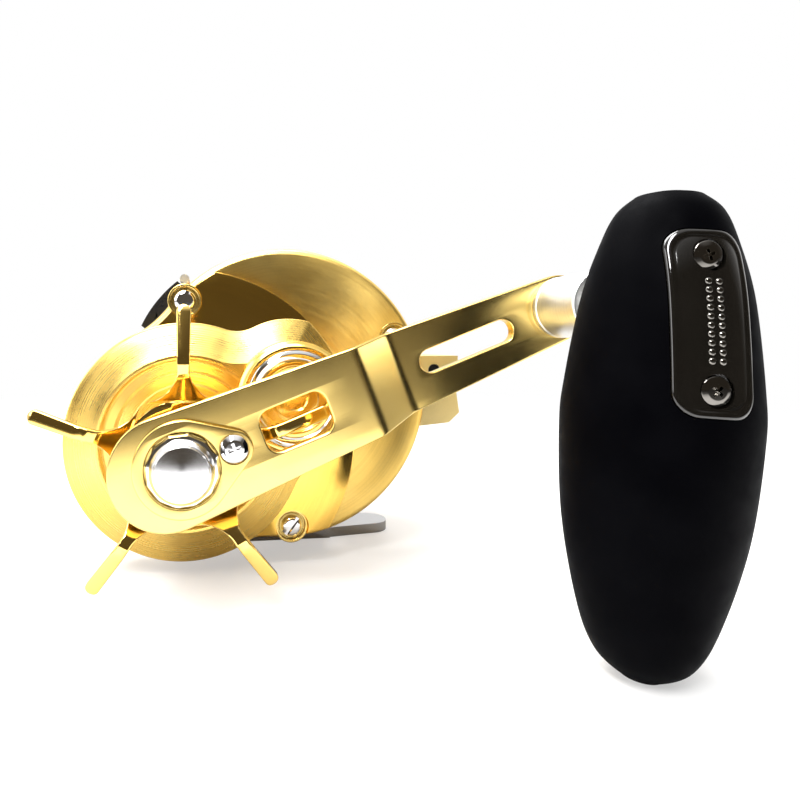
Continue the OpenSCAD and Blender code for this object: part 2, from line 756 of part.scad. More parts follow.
/* ---- cast tension knob ---- */
module tension_knob()
    color(gold) axial([0, 0], 26) difference() {
        union() {
            translate([0, 0, 1]) cylinder(r = 10, h = 1);
            translate([0, 0, 1.6]) linear_extrude(4.6) union() {
                circle(10.3);
                for (a = [0:6:354]) rotate(a) translate([10.1, 0]) circle(0.42, $fn = 16);
            }
            translate([0, 0, 6.2]) cylinder(r1 = 10.2, r2 = 9.5, h = 0.9);
            cylinder(r = 9.4, h = 6.2);
            translate([0, 0, 7.1]) cylinder(r1 = 6.2, r2 = 5.6, h = 0.5);
        }
        translate([0, 0, -1]) cylinder(r = 8.1, h = 3.5);
        translate([0, 0, 2]) cylinder(r = 2.6, h = 1.4);
        translate([0, 0, 6.5]) ring(8.8, 6.9, 3);
    }

module knob_ring()
    color(silver) axial([0, 0], 32.52) difference() {
        union() {
            cylinder(r = 8.75, h = 0.5);
            translate([0, 0, 0.5]) cylinder(r1 = 8.75, r2 = 8.3, h = 0.4);
        }
        translate([0, 0, -1]) cylinder(r = 6.95, h = 4);
    }

module tension_shim()
    color("darkgoldenrod") axial([0, 0], 28.45) cylinder(r = 2.5, h = 0.9);

/* ---- level wind ---- */
hood_screw_x = [31.4, 35];
hood_screw_z = 4.4;
cheek_h = 19.6;

module level_wind_hood()
    color(gold) difference() {
        union() {
            // end cheeks outside the frame walls
            axial([0, 0], wall_out) linear_extrude(cheek_h - wall_out) block_2d(7.4);
            axial([0, 0], -18) linear_extrude(18 - wall_out) block_2d(7.4);
            // bar across the front above the line guide
            axial([0, 0], -wall_out - 1) linear_extrude(2 * wall_out + 2)
                polygon([[30, 6.4], [36.4, 6.4], [36.6, 7.4], [29.4, 7.4]]);
        }
        for (h = [-24, wall_out - 0.5]) axial([0, 0], h) cylinder(r = plate_r + 0.1, h = 10.5);
        axial([screw_spots[2][0], screw_spots[2][1]], wall_out - 1) cylinder(r = 3.4, h = 10);
        // hollows for the ends of the worm shaft and for its gear
        axial(worm_axis, wall_out - 1) cylinder(r = 2.6, h = 4);
        axial(worm_axis, -17.3) cylinder(r = 4.2, h = 5);
        axial(idler_axis, idler_h - 0.2) cylinder(r = 12.8, h = 4);
        for (x = hood_screw_x) axial([x, hood_screw_z], wall_out - 1) {
            cylinder(r = 0.8, h = 9);
            translate([0, 0, cheek_h - wall_out + 0.2]) cylinder(r = 1.3, h = 3);
        }
    }

module hood_screws()
    color([0.1, 0.1, 0.1]) for (x = hood_screw_x) axial([x, hood_screw_z], wall_in + 0.2) {
        cylinder(r = 0.72, h = cheek_h - wall_in - 1);
        translate([0, 0, cheek_h - wall_in - 1]) cylinder(r = 1.2, h = 0.6);
    }

module worm_shaft()
    color(silver) axial(worm_axis, -16.9) {
        cylinder(r = 1.6, h = 32.9);
        translate([0, 0, 5.6]) cylinder(r = 2.2, h = 22.6);
    }

module worm_bushes()
    color("white") for (h = [wall_in, -wall_out]) axial(worm_axis, h) ring(2.95, 1.65, 2);

module worm_gear()
    color("white") axial(worm_axis, idler_h) difference() {
        linear_extrude(1.9) gear_2d(worm_gear_teeth, worm_gear_phase);
        translate([0, 0, -1]) cylinder(r = 1.62, h = 5);
    }

module idler_gear()
    color("white") axial(idler_axis, idler_h) difference() {
        linear_extrude(1.9) gear_2d(idler_teeth, idler_phase);
        translate([0, 0, -1]) cylinder(r = 1.05, h = 5);
        for (a = [0:72:288]) rotate(a) translate([6.4, 0, -1]) cylinder(r = 2.1, h = 5);
    }

module idler_pin()
    color(silver) axial(idler_axis, -19.8) cylinder(r = 0.98, h = 5.8);

module guide_rod()
    color(silver) axial(guide_rod_axis, -wall_out + 0.1) cylinder(r = 0.96, h = 2 * wall_out - 0.2);

guide_half = 3.2;
guide_eye = [33.2, 3.1];
eye_r = 1.9;
module line_guide()
    color([0.1, 0.1, 0.1]) difference() {
        union() {
            axial([0, 0], -guide_half) linear_extrude(2 * guide_half)
                polygon([[27.7, -4.6], [28.6, -5.6], [34.8, -5.6], [35.8, -4.4], [35.8, 0.4],
                         [35, 0.9], [28.6, 0.9], [27.7, 0]]);
            translate([guide_eye[0], 0, spool_z + guide_eye[1]]) rotate([0, 90, 0])
                cylinder(r = 3.1, h = 3);
        }
        axial(worm_axis, -5) cylinder(r = 2.3, h = 10);
        axial(guide_rod_axis, -5) cylinder(r = 1.01, h = 10);
        translate([guide_eye[0] - 1, 0, spool_z + guide_eye[1]]) rotate([0, 90, 0])
            cylinder(r = 2.45, h = 5);
        // hole of the pawl
        translate([worm_axis[0], 0, spool_z - 9]) cylinder(r = 1.3, h = 6);
    }

module guide_ring()
    color("white") translate([guide_eye[0] - 0.1, 0, spool_z + guide_eye[1]]) rotate([0, 90, 0])
        difference() {
            cylinder(r = 2.44, h = 3.2);
            translate([0, 0, -1]) cylinder(r = eye_r, h = 6);
        }

module guide_pawl()
    color("darkgoldenrod") translate([worm_axis[0], 0, spool_z + worm_axis[1] - 3.15])
        cylinder(r = 1.25, h = 0.9);

module pawl_cap()
    color(silver) translate([worm_axis[0], 0, spool_z - 6.5]) {
        cylinder(r = 1.9, h = 0.85);
        cylinder(r = 1.25, h = 1.3);
    }

frame();
reel_foot();
foot_rivets();
handle_side_plate();
gear_cover();
side_plate_screws();
palm_side_plate();
palm_plate_screws();
palm_bearing_cap();
thumb_bar();
thumb_bar_pin();
clutch_plate();
pinion_yoke();
yoke_springs();
spool();
spool_shaft();
pinion_bearing();
palm_bearing();
spool_gear();
brake_rotor();
brake_blocks();
brake_drum();
pinion_gear();
drive_gear();
drive_shaft();
drive_shaft_bush();
drag_friction_washers();
drag_metal_washers();
pressure_washer();
clutch_sleeve();
roller_clutch();
spring_washers();
star_nut();
star_drag();
handle_spacer();
handle_arm();
handle_nut();
nut_retainer();
retainer_screw();
knob_spindle();
grip_bearings();
spindle_screw();
grip();
grip_plate();
grip_plate_screws();
tension_knob();
knob_ring();
tension_shim();
level_wind_hood();
hood_screws();
worm_shaft();
worm_gear();
idler_gear();
idler_pin();
worm_bushes();
guide_rod();
line_guide();
guide_ring();
guide_pawl();
pawl_cap();
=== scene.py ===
"""Looks of a gold star-drag reel with a level-wind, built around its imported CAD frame."""
import math

import bmesh
import bpy
from mathutils import Matrix, Vector


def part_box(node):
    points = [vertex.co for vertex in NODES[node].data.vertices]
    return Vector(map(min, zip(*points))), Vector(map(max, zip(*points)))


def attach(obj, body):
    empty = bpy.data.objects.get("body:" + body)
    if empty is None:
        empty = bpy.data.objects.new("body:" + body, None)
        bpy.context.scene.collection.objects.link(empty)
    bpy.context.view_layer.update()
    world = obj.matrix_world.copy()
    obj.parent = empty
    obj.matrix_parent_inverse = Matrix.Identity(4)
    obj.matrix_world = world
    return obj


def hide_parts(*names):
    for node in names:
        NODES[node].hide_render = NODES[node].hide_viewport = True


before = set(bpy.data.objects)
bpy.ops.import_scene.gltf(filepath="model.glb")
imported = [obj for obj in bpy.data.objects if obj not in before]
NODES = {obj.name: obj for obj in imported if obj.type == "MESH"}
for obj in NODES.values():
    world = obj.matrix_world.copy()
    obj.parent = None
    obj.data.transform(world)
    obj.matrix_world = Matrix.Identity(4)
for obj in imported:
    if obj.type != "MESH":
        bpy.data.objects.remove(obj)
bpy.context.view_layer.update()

MM = 0.001
TAU = 2 * math.pi


# ---- places, from the frame ----
def centre(node):
    low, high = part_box(node)
    return (low + high) / 2 / MM


def low_of(node, axis):
    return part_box(node)[0][axis] / MM


def high_of(node, axis):
    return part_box(node)[1][axis] / MM


SPOOL = centre("spool")
DRIVE = centre("drive_gear")
GRIP_AXIS = centre("spindle_screw")
REACH = Vector((GRIP_AXIS.x - DRIVE.x, GRIP_AXIS.z - DRIVE.z))
ARM_ANGLE = math.atan2(REACH.y, REACH.x)
ARM_REACH = REACH.length
# Heights above the middle plane, outwards on the handle side
RETAINER_THICK = 1.2
RETAINER_REACH = 8.2
ARM_DROP = 5.0
ARM_H = -low_of("nut_retainer", 1) - RETAINER_THICK
SPINDLE_H = ARM_H - ARM_DROP
COVER_BASE_H = -high_of("gear_cover", 1)
COVER_TOP_H = -low_of("gear_cover", 1)
WALL_H = -high_of("handle_side_plate", 1)
DISC_H = 21.0
PLATE_R = high_of("palm_side_plate", 0)
COVER_R = 22.7
LOBE_R = 14.8
PLATFORM_R = 33.0
# Places of the palm side screws, round the spool axis
PALM_SCREW_R = 25.6
PALM_SCREW_TURNS = (70, 190, 300)
PAIR_D = math.hypot(DRIVE.x - SPOOL.x, DRIVE.z - SPOOL.z)
DRIVE_DIR = math.atan2(DRIVE.z - SPOOL.z, DRIVE.x - SPOOL.x)


def axial(point, h=0.0, turn=0.0):
    """Local +Z points outwards on the handle side, from height h on an axis across the reel."""
    place = Matrix.Translation((point.x * MM, -h * MM, point.z * MM))
    return place @ Matrix.Rotation(math.pi / 2, 4, "X") @ Matrix.Rotation(turn, 4, "Z")


def polar(r, a):
    return (r * math.cos(a), r * math.sin(a))


# ---- mesh building, in millimetres ----
def make_mesh(name, verts, faces):
    mesh = bpy.data.meshes.new(name)
    mesh.from_pydata([Vector(v) * MM for v in verts], [], faces)
    tidy_mesh(mesh)
    return mesh


def tidy_mesh(mesh):
    bm = bmesh.new()
    bm.from_mesh(mesh)
    bmesh.ops.remove_doubles(bm, verts=bm.verts, dist=1e-7)
    bmesh.ops.recalc_face_normals(bm, faces=bm.faces)
    bm.to_mesh(mesh)
    bm.free()


def smooth(mesh, angle=35):
    mesh.shade_smooth()
    mesh.set_sharp_from_angle(angle=math.radians(angle))


def rounded(points, steps=4):
    """Rounds the corners of an open profile of (r, z) or (r, z, fillet radius) points."""
    out = []
    for i, p in enumerate(points):
        fillet = p[2] if len(p) > 2 else 0
        here = Vector(p[:2])
        if not fillet or i in (0, len(points) - 1):
            out.append(tuple(here))
            continue
        a = (Vector(points[i - 1][:2]) - here)
        b = (Vector(points[i + 1][:2]) - here)
        half = a.angle(b) / 2
        back = min(fillet / math.tan(half), a.length * 0.49, b.length * 0.49)
        start, end = here + a.normalized() * back, here + b.normalized() * back
        for k in range(steps + 1):
            t = k / steps
            out.append(tuple(start * (1 - t) ** 2 + here * 2 * t * (1 - t) + end * t * t))
    return out


def lathe(name, profile, segments=160, ripple=None):
    """Turns (r, z) points about local Z. ripple(r, z, angle) changes the radius."""
    verts, rings = [], []
    for r, z in profile:
        if r < 1e-6:
            verts.append((0, 0, z))
            rings.append([len(verts) - 1] * segments)
            continue
        ring = []
        for k in range(segments):
            a = TAU * k / segments
            rr = ripple(r, z, a) if ripple else r
            verts.append((rr * math.cos(a), rr * math.sin(a), z))
            ring.append(len(verts) - 1)
        rings.append(ring)
    faces = []
    for one, two in zip(rings, rings[1:]):
        for k in range(segments):
            n = (k + 1) % segments
            quad = [one[k], one[n], two[n], two[k]]
            face = list(dict.fromkeys(quad))
            if len(face) > 2:
                faces.append(face)
    return make_mesh(name, verts, faces)


def loft(name, rings, closed=False):
    """Joins rings of the same number of (x, y, z) points, and caps an open row of rings."""
    verts = [p for ring in rings for p in ring]
    n = len(rings[0])
    faces = []
    count = len(rings)
    for i in range(count if closed else count - 1):
        j = (i + 1) % count
        for k in range(n):
            m = (k + 1) % n
            faces.append([i * n + k, i * n + m, j * n + m, j * n + k])
    if not closed:
        faces.append(list(range(n)))
        faces.append(list(range((count - 1) * n, count * n)))
    return make_mesh(name, verts, faces)


def at_height(points, z):
    return [(x, y, z) for x, y in points]


def arc(cx, cy, r, a0, a1, steps):
    return [(cx + r * math.cos(a0 + (a1 - a0) * k / steps),
             cy + r * math.sin(a0 + (a1 - a0) * k / steps)) for k in range(steps + 1)]


def taper_outline(r1, r2, d, x0=0.0, steps=40):
    """Two round ends joined by their outer tangent lines."""
    a = math.acos((r1 - r2) / d)
    return arc(x0, 0, r1, a, TAU - a, steps) + arc(x0 + d, 0, r2, -a, a, steps)


def round_box(x0, x1, y0, y1, r, steps=6):
    out = []
    for cx, cy, a in ((x1 - r, y1 - r, 0), (x0 + r, y1 - r, 90), (x0 + r, y0 + r, 180),
                      (x1 - r, y0 + r, 270)):
        out += arc(cx, cy, r, math.radians(a), math.radians(a + 90), steps)
    return out


def circle_points(cx, cy, r, steps=48):
    return arc(cx, cy, r, 0, TAU, steps)[:-1]


def sheet_plate(name, loops, z0, z1, bevel, resolution=3):
    """A flat plate of one outline and its holes, with rounded edges."""
    curve = bpy.data.curves.new(name, "CURVE")
    curve.dimensions = "2D"
    curve.fill_mode = "BOTH"
    curve.extrude = (abs(z1 - z0) / 2 - bevel) * MM
    curve.bevel_depth = bevel * MM
    curve.bevel_resolution = resolution
    curve.offset = -bevel * MM
    for loop in loops:
        spline = curve.splines.new("POLY")
        spline.points.add(len(loop) - 1)
        for point, (x, y) in zip(spline.points, loop):
            point.co = (x * MM, y * MM, 0, 1)
        spline.use_cyclic_u = True
    holder = bpy.data.objects.new(name, curve)
    bpy.context.scene.collection.objects.link(holder)
    bpy.context.view_layer.update()
    mesh = bpy.data.meshes.new_from_object(
        holder.evaluated_get(bpy.context.evaluated_depsgraph_get()))
    bpy.data.objects.remove(holder)
    bpy.data.curves.remove(curve)
    mesh.transform(Matrix.Translation((0, 0, (z0 + z1) / 2 * MM)))
    tidy_mesh(mesh)
    mesh.name = name
    return mesh


def joined(name, meshes):
    bm = bmesh.new()
    for mesh in meshes:
        bm.from_mesh(mesh)
    out = bpy.data.meshes.new(name)
    bm.to_mesh(out)
    bm.free()
    return out


def moved(mesh, matrix):
    mesh.transform(matrix)
    return mesh


def boolean(mesh, other, operation="DIFFERENCE"):
    """mesh with other cut from it, or joined to it."""
    a = bpy.data.objects.new("solid", mesh)
    b = bpy.data.objects.new("tool", other)
    for o in (a, b):
        bpy.context.scene.collection.objects.link(o)
    modifier = a.modifiers.new("cut", "BOOLEAN")
    modifier.operation = operation
    modifier.object = b
    modifier.solver = "EXACT"
    bpy.context.view_layer.update()
    out = bpy.data.meshes.new_from_object(a.evaluated_get(bpy.context.evaluated_depsgraph_get()))
    out.name = mesh.name
    bpy.data.objects.remove(a)
    bpy.data.objects.remove(b)
    return out


def cylinder(r, z0, z1, segments=96, x=0.0, y=0.0):
    mesh = lathe("cylinder", [(0, z0), (r, z0), (r, z1), (0, z1)], segments)
    return moved(mesh, Matrix.Translation((x * MM, y * MM, 0)))


# ---- materials ----
MATERIALS = {}


class Nodes:
    """A small wrapper that makes and links the shader nodes of one new material."""

    def __init__(self, name):
        self.material = MATERIALS[name] = bpy.data.materials.new(name)
        self.material.use_nodes = True
        self.tree = self.material.node_tree
        self.shader = self.tree.nodes["Principled BSDF"]
        self.coords = self.tree.nodes.new("ShaderNodeTexCoord").outputs["Object"]

    def node(self, kind, **inputs):
        n = self.tree.nodes.new(kind)
        for key, value in inputs.items():
            self.put(n.inputs[key.replace("_", " ")], value)
        return n

    def put(self, socket, value):
        if isinstance(value, bpy.types.NodeSocket):
            self.tree.links.new(value, socket)
        else:
            socket.default_value = value

    def math(self, operation, a, b=0.0):
        n = self.tree.nodes.new("ShaderNodeMath")
        n.operation = operation
        self.put(n.inputs[0], a)
        self.put(n.inputs[1], b)
        return n.outputs[0]

    def noise(self, scale, detail=3.0, vector=None, roughness=0.5):
        n = self.node("ShaderNodeTexNoise", Scale=scale, Detail=detail, Roughness=roughness)
        self.put(n.inputs["Vector"], vector or self.coords)
        return n.outputs["Fac"]

    def ranged(self, value, low, high, new_low, new_high):
        n = self.node("ShaderNodeMapRange", Value=value)
        for key, v in (("From Min", low), ("From Max", high), ("To Min", new_low),
                       ("To Max", new_high)):
            n.inputs[key].default_value = v
        return n.outputs["Result"]

    def mix(self, factor, a, b):
        n = self.tree.nodes.new("ShaderNodeMix")
        n.data_type = "RGBA"
        self.put(n.inputs["Factor"], factor)
        for socket, value in ((n.inputs["A"], a), (n.inputs["B"], b)):
            self.put(socket, value if isinstance(value, bpy.types.NodeSocket) else (*value, 1))
        return n.outputs["Result"]

    def bump(self, height, strength, distance_mm, normal=None):
        n = self.node("ShaderNodeBump", Strength=strength, Distance=distance_mm * MM,
                      Height=height)
        if normal:
            self.put(n.inputs["Normal"], normal)
        return n.outputs["Normal"]

    def edges(self):
        """1 on edges, where a finish wears and where a painted edge highlight goes: the rounded
        normal leaves the true one.
        """
        bevel = self.node("ShaderNodeBevel", Radius=EDGE_WIDTH * MM)
        bevel.samples = 4
        true = self.tree.nodes.new("ShaderNodeNewGeometry").outputs["Normal"]
        dot = self.tree.nodes.new("ShaderNodeVectorMath")
        dot.operation = "DOT_PRODUCT"
        self.put(dot.inputs[0], bevel.outputs[0])
        self.put(dot.inputs[1], true)
        return self.ranged(dot.outputs["Value"], 0.995, 0.9, 0.0, 1.0)

    def radius(self):
        """Distance from the object's own Z axis, and the coordinates as (x, y, z)."""
        parts = self.node("ShaderNodeSeparateXYZ", Vector=self.coords).outputs
        square = self.math("ADD", self.math("MULTIPLY", parts[0], parts[0]),
                           self.math("MULTIPLY", parts[1], parts[1]))
        return self.math("SQRT", square), parts

    def around_axis(self):
        """The direction along a turned cut, round the object's Z axis."""
        cross = self.tree.nodes.new("ShaderNodeVectorMath")
        cross.operation = "CROSS_PRODUCT"
        self.put(cross.inputs[0], self.coords)
        cross.inputs[1].default_value = (0, 0, 1)
        turn = self.tree.nodes.new("ShaderNodeVectorTransform")
        turn.vector_type = "VECTOR"
        turn.convert_from, turn.convert_to = "OBJECT", "WORLD"
        self.put(turn.inputs[0], cross.outputs[0])
        unit = self.tree.nodes.new("ShaderNodeVectorMath")
        unit.operation = "NORMALIZE"
        self.put(unit.inputs[0], turn.outputs[0])
        return unit.outputs[0]

    def set(self, **values):
        for key, value in values.items():
            self.put(self.shader.inputs[key.replace("_", " ")], value)


# How far wear and the painted edge highlight reach from an edge, in mm
EDGE_WIDTH = 0.12
GOLD = (1.0, 0.66, 0.155)
GOLD_PALE = (1.0, 0.76, 0.27)
GOLD_DEEP = (0.93, 0.52, 0.09)
# pale edge colour: partly wear, partly a painted edge highlight
WORN_AND_GLINT = (1.0, 0.86, 0.52)
STEEL = (0.80, 0.80, 0.82)


def metal(name, colour, pale, rough, turned=0.0, grain=0.0, aniso=0.0, worn_and_glint_colour=WORN_AND_GLINT, wear_and_glint=0.5,
          coat=0.0):
    """Anodised or plain metal: mottled colour, worn edges that also carry a painted highlight,
    blasted grain or turned lines.
    """
    n = Nodes(name)
    cloud = n.noise(60, 3)
    base = n.mix(n.ranged(cloud, 0.3, 0.7, 0.0, 0.6), colour, pale)
    fine = n.noise(2600, 2)
    base = n.mix(n.ranged(fine, 0.3, 0.7, 0.0, 0.1), base, tuple(c * 0.65 for c in colour))
    edge = n.edges()
    # edges go paler: partly wear, partly a painted edge highlight
    base = n.mix(n.math("MULTIPLY", edge, wear_and_glint), base, worn_and_glint_colour)
    smear = n.noise(180, 3)
    roughness = n.math("ADD", n.ranged(smear, 0.3, 0.7, rough * 0.92, rough * 1.1),
                       n.math("MULTIPLY", edge, -rough * 0.3))
    normal = None
    if grain:
        normal = n.bump(n.noise(9000, 2), grain, 0.01)
    if turned:
        r, parts = n.radius()
        flat = n.node("ShaderNodeCombineXYZ", X=r, Y=parts[2]).outputs[0]
        cuts = n.noise(9000, 3, flat, 0.6)
        normal = n.bump(cuts, turned, 0.003, normal)
        streak = n.noise(3200, 3, flat, 0.7)
        roughness = n.math("MULTIPLY", roughness, n.ranged(streak, 0.3, 0.7, 0.88, 1.14))
        base = n.mix(n.ranged(streak, 0.35, 0.65, 0.0, 0.22), base, tuple(c * 0.62 for c in colour))
    n.set(Base_Color=base, Metallic=1.0, Roughness=roughness)
    if normal:
        n.set(Normal=normal)
    if aniso:
        n.set(Anisotropic=aniso, Tangent=n.around_axis())
    if coat:
        n.set(Coat_Weight=coat, Coat_Roughness=0.05)


def plastic(name, colour, rough, grain=0.15, grain_scale=4000, sheen=0.0, coat=0.0, specular=0.5,
            wear_and_glint_colour=None):
    n = Nodes(name)
    cloud = n.noise(120, 3)
    lighter = tuple(min(1.0, c * 1.25 + 0.0005) for c in colour)
    base = n.mix(n.ranged(cloud, 0.35, 0.65, 0.0, 1.0), colour, lighter)
    # edges go paler: partly wear, partly a painted edge highlight
    base = n.mix(n.math("MULTIPLY", n.edges(), 0.5), base,
                 wear_and_glint_colour or tuple(min(1.0, c * 1.8 + 0.02) for c in colour))
    smear = n.noise(350, 4)
    roughness = n.ranged(smear, 0.3, 0.7, rough * 0.85, min(1.0, rough * 1.18))
    n.set(Base_Color=base, Roughness=roughness, Specular_IOR_Level=specular,
          Normal=n.bump(n.noise(grain_scale, 3), grain, 0.02))
    if sheen:
        n.set(Sheen_Weight=sheen, Sheen_Roughness=0.4, Sheen_Tint=(0.75, 0.82, 1.0, 1))
    if coat:
        n.set(Coat_Weight=coat, Coat_Roughness=0.03)


def carbon(name):
    """Woven carbon fibre washers."""
    n = Nodes(name)
    parts = n.node("ShaderNodeSeparateXYZ", Vector=n.coords).outputs
    checks = n.node("ShaderNodeTexChecker", Scale=900.0)
    n.put(checks.inputs["Vector"], n.coords)
    threads = n.math("SINE", n.math("MULTIPLY", n.math("ADD", parts[0], parts[2]), 9000.0))
    base = n.mix(checks.outputs["Fac"], (0.012, 0.012, 0.013), (0.035, 0.035, 0.037))
    n.set(Base_Color=base, Roughness=n.ranged(n.noise(500), 0.3, 0.7, 0.35, 0.5),
          Normal=n.bump(threads, 0.2, 0.02))


def make_materials():
    metal("gold_disc", GOLD, GOLD_PALE, 0.36, turned=0.05, aniso=0.75)
    metal("gold_platform", (0.9, 0.55, 0.1), GOLD, 0.14, turned=0.06, worn_and_glint_colour=(1, 0.8, 0.4))
    metal("gold_cover", GOLD, GOLD_PALE, 0.28, turned=0.02, aniso=0.7)
    metal("gold_satin", (0.86, 0.62, 0.19), (0.90, 0.67, 0.23), 0.24, grain=0.15, wear_and_glint=0.25)
    metal("gold_hood", (0.97, 0.74, 0.3), (1.0, 0.8, 0.38), 0.38, grain=0.3)
    metal("gold_polished", GOLD, GOLD_PALE, 0.08, grain=0.04, coat=0.3)
    metal("gold_knob", GOLD, GOLD_PALE, 0.16, turned=0.25, aniso=0.5)
    metal("gold_frame", GOLD, GOLD_DEEP, 0.2, grain=0.12)
    metal("gold_spool", GOLD, GOLD_PALE, 0.14, turned=0.25, aniso=0.5)
    metal("steel", STEEL, (0.88, 0.88, 0.89), 0.14, grain=0.08, worn_and_glint_colour=(1, 1, 1))
    metal("steel_turned", STEEL, (0.9, 0.9, 0.92), 0.18, turned=0.35, aniso=0.85, worn_and_glint_colour=(1, 1, 1))
    metal("chrome", (0.84, 0.84, 0.86), (0.92, 0.92, 0.93), 0.05, grain=0.03, worn_and_glint_colour=(1, 1, 1))
    metal("collar", (0.95, 0.95, 0.93), (0.98, 0.98, 0.96), 0.4, turned=0.3,
          aniso=0.3, worn_and_glint_colour=(1, 1, 1))
    metal("foot", (0.55, 0.55, 0.56), (0.64, 0.64, 0.65), 0.22, grain=0.3, worn_and_glint_colour=(0.9, 0.9, 0.9))
    metal("brass", (0.85, 0.56, 0.20), (0.92, 0.66, 0.30), 0.2, turned=0.2, aniso=0.3)
    metal("black_steel", (0.03, 0.03, 0.032), (0.05, 0.05, 0.052), 0.3,
          grain=0.15, worn_and_glint_colour=(0.4, 0.4, 0.42), wear_and_glint=0.35)
    metal("black_chrome", (0.16, 0.15, 0.14), (0.24, 0.23, 0.21), 0.1,
          grain=0.05, worn_and_glint_colour=(0.7, 0.68, 0.62), wear_and_glint=0.6)
    plastic("grip", (0.0004, 0.0004, 0.0008), 0.5, grain=0.12, grain_scale=7500,
            sheen=0.008, specular=0.012, wear_and_glint_colour=(0.001, 0.001, 0.0015))
    plastic("gloss", (0.003, 0.0026, 0.002), 0.07, grain=0.02, coat=0.5,
            wear_and_glint_colour=(0.012, 0.01, 0.008))
    plastic("black_plastic", (0.010, 0.010, 0.011), 0.28, grain=0.1)
    plastic("white_plastic", (0.70, 0.69, 0.65), 0.4, grain=0.08)
    plastic("brake_plastic", (0.42, 0.03, 0.02), 0.4, grain=0.1)
    plastic("ceramic", (0.72, 0.73, 0.74), 0.12, grain=0.02, coat=0.6)
    carbon("carbon")


make_materials()


def piece(name, mesh, place, body, finish, stands_for=(), angle=35):
    """A finished piece: its mesh in local metres, its place, body, material and CAD nodes."""
    smooth(mesh, angle)
    mesh.materials.clear()
    mesh.materials.append(MATERIALS[finish])
    mesh.name = name
    o = bpy.data.objects.new(name, mesh)
    o.matrix_world = place
    bpy.context.scene.collection.objects.link(o)
    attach(o, body)
    if stands_for:
        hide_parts(*stands_for)
    return o


# ---- handle side plate and gear cover ----
def pair_radius(a, r1, r2, k, from_second):
    """Distance from one circle of a filleted pair to the pair's outline, at angle a.

    The pair lies along +X from the circle r1 at the origin to the circle r2 at PAIR_D."""
    if from_second:
        r1, r2, a = r2, r1, math.pi - a
    a = math.remainder(a, TAU)
    cos_k = ((r1 + k) ** 2 + PAIR_D ** 2 - (r2 + k) ** 2) / (2 * (r1 + k) * PAIR_D)
    touch = math.acos(cos_k)
    if abs(a) >= touch:
        return r1
    # the far circle, and the fillet between the two touching points
    side = PAIR_D * math.sin(abs(a))
    far = 0.0
    if side < r2:
        far = PAIR_D * math.cos(a) + math.sqrt(r2 * r2 - side * side)
    fx, fy = (r1 + k) * math.cos(touch), (r1 + k) * math.sin(touch)
    touch_far = math.atan2(fy * r2 / (r2 + k), fx + (PAIR_D - fx) * k / (r2 + k))
    if abs(a) <= touch_far and far:
        return far
    along = fx * math.cos(abs(a)) + fy * math.sin(abs(a))
    off = abs(fy * math.cos(abs(a)) - fx * math.sin(abs(a)))
    return along - math.sqrt(max(k * k - off * off, 0.0))


def plate_radius(inset, a, from_drive=False):
    """Outline of the side plate seen from the spool axis, or from the drive axis."""
    return pair_radius(a - DRIVE_DIR, PLATE_R - inset, COVER_R - inset, 24 + inset, from_drive)


def cover_radius(inset, a):
    """Wavy outline of the gear cover, seen from the drive axis."""
    wave = pair_radius(a - DRIVE_DIR - math.pi, COVER_R - inset, LOBE_R - inset, 7 + inset, False)
    return min(wave, PLATFORM_R - inset)


def platform_radius(inset, a):
    return min(PLATFORM_R - inset, plate_radius(1.3 + inset, a, True))


def ring_of(radius, inset, z, steps=360):
    """One ring at height z of the outline that radius(inset, angle) gives."""
    out = []
    for i in range(steps):
        a = TAU * i / steps
        out.append((*polar(radius(inset, a), a), z))
    return out


# the screws of the handle side plate: x and y from the spool axis, and the height of the seat
SCREWS = [(-20, 18.2, 21.8), (0.8, -26, 21.8), (22.3, 11, 20.2)]
to_spool = Matrix.Translation(((SPOOL.x - DRIVE.x) * MM, (SPOOL.z - DRIVE.z) * MM, 0))


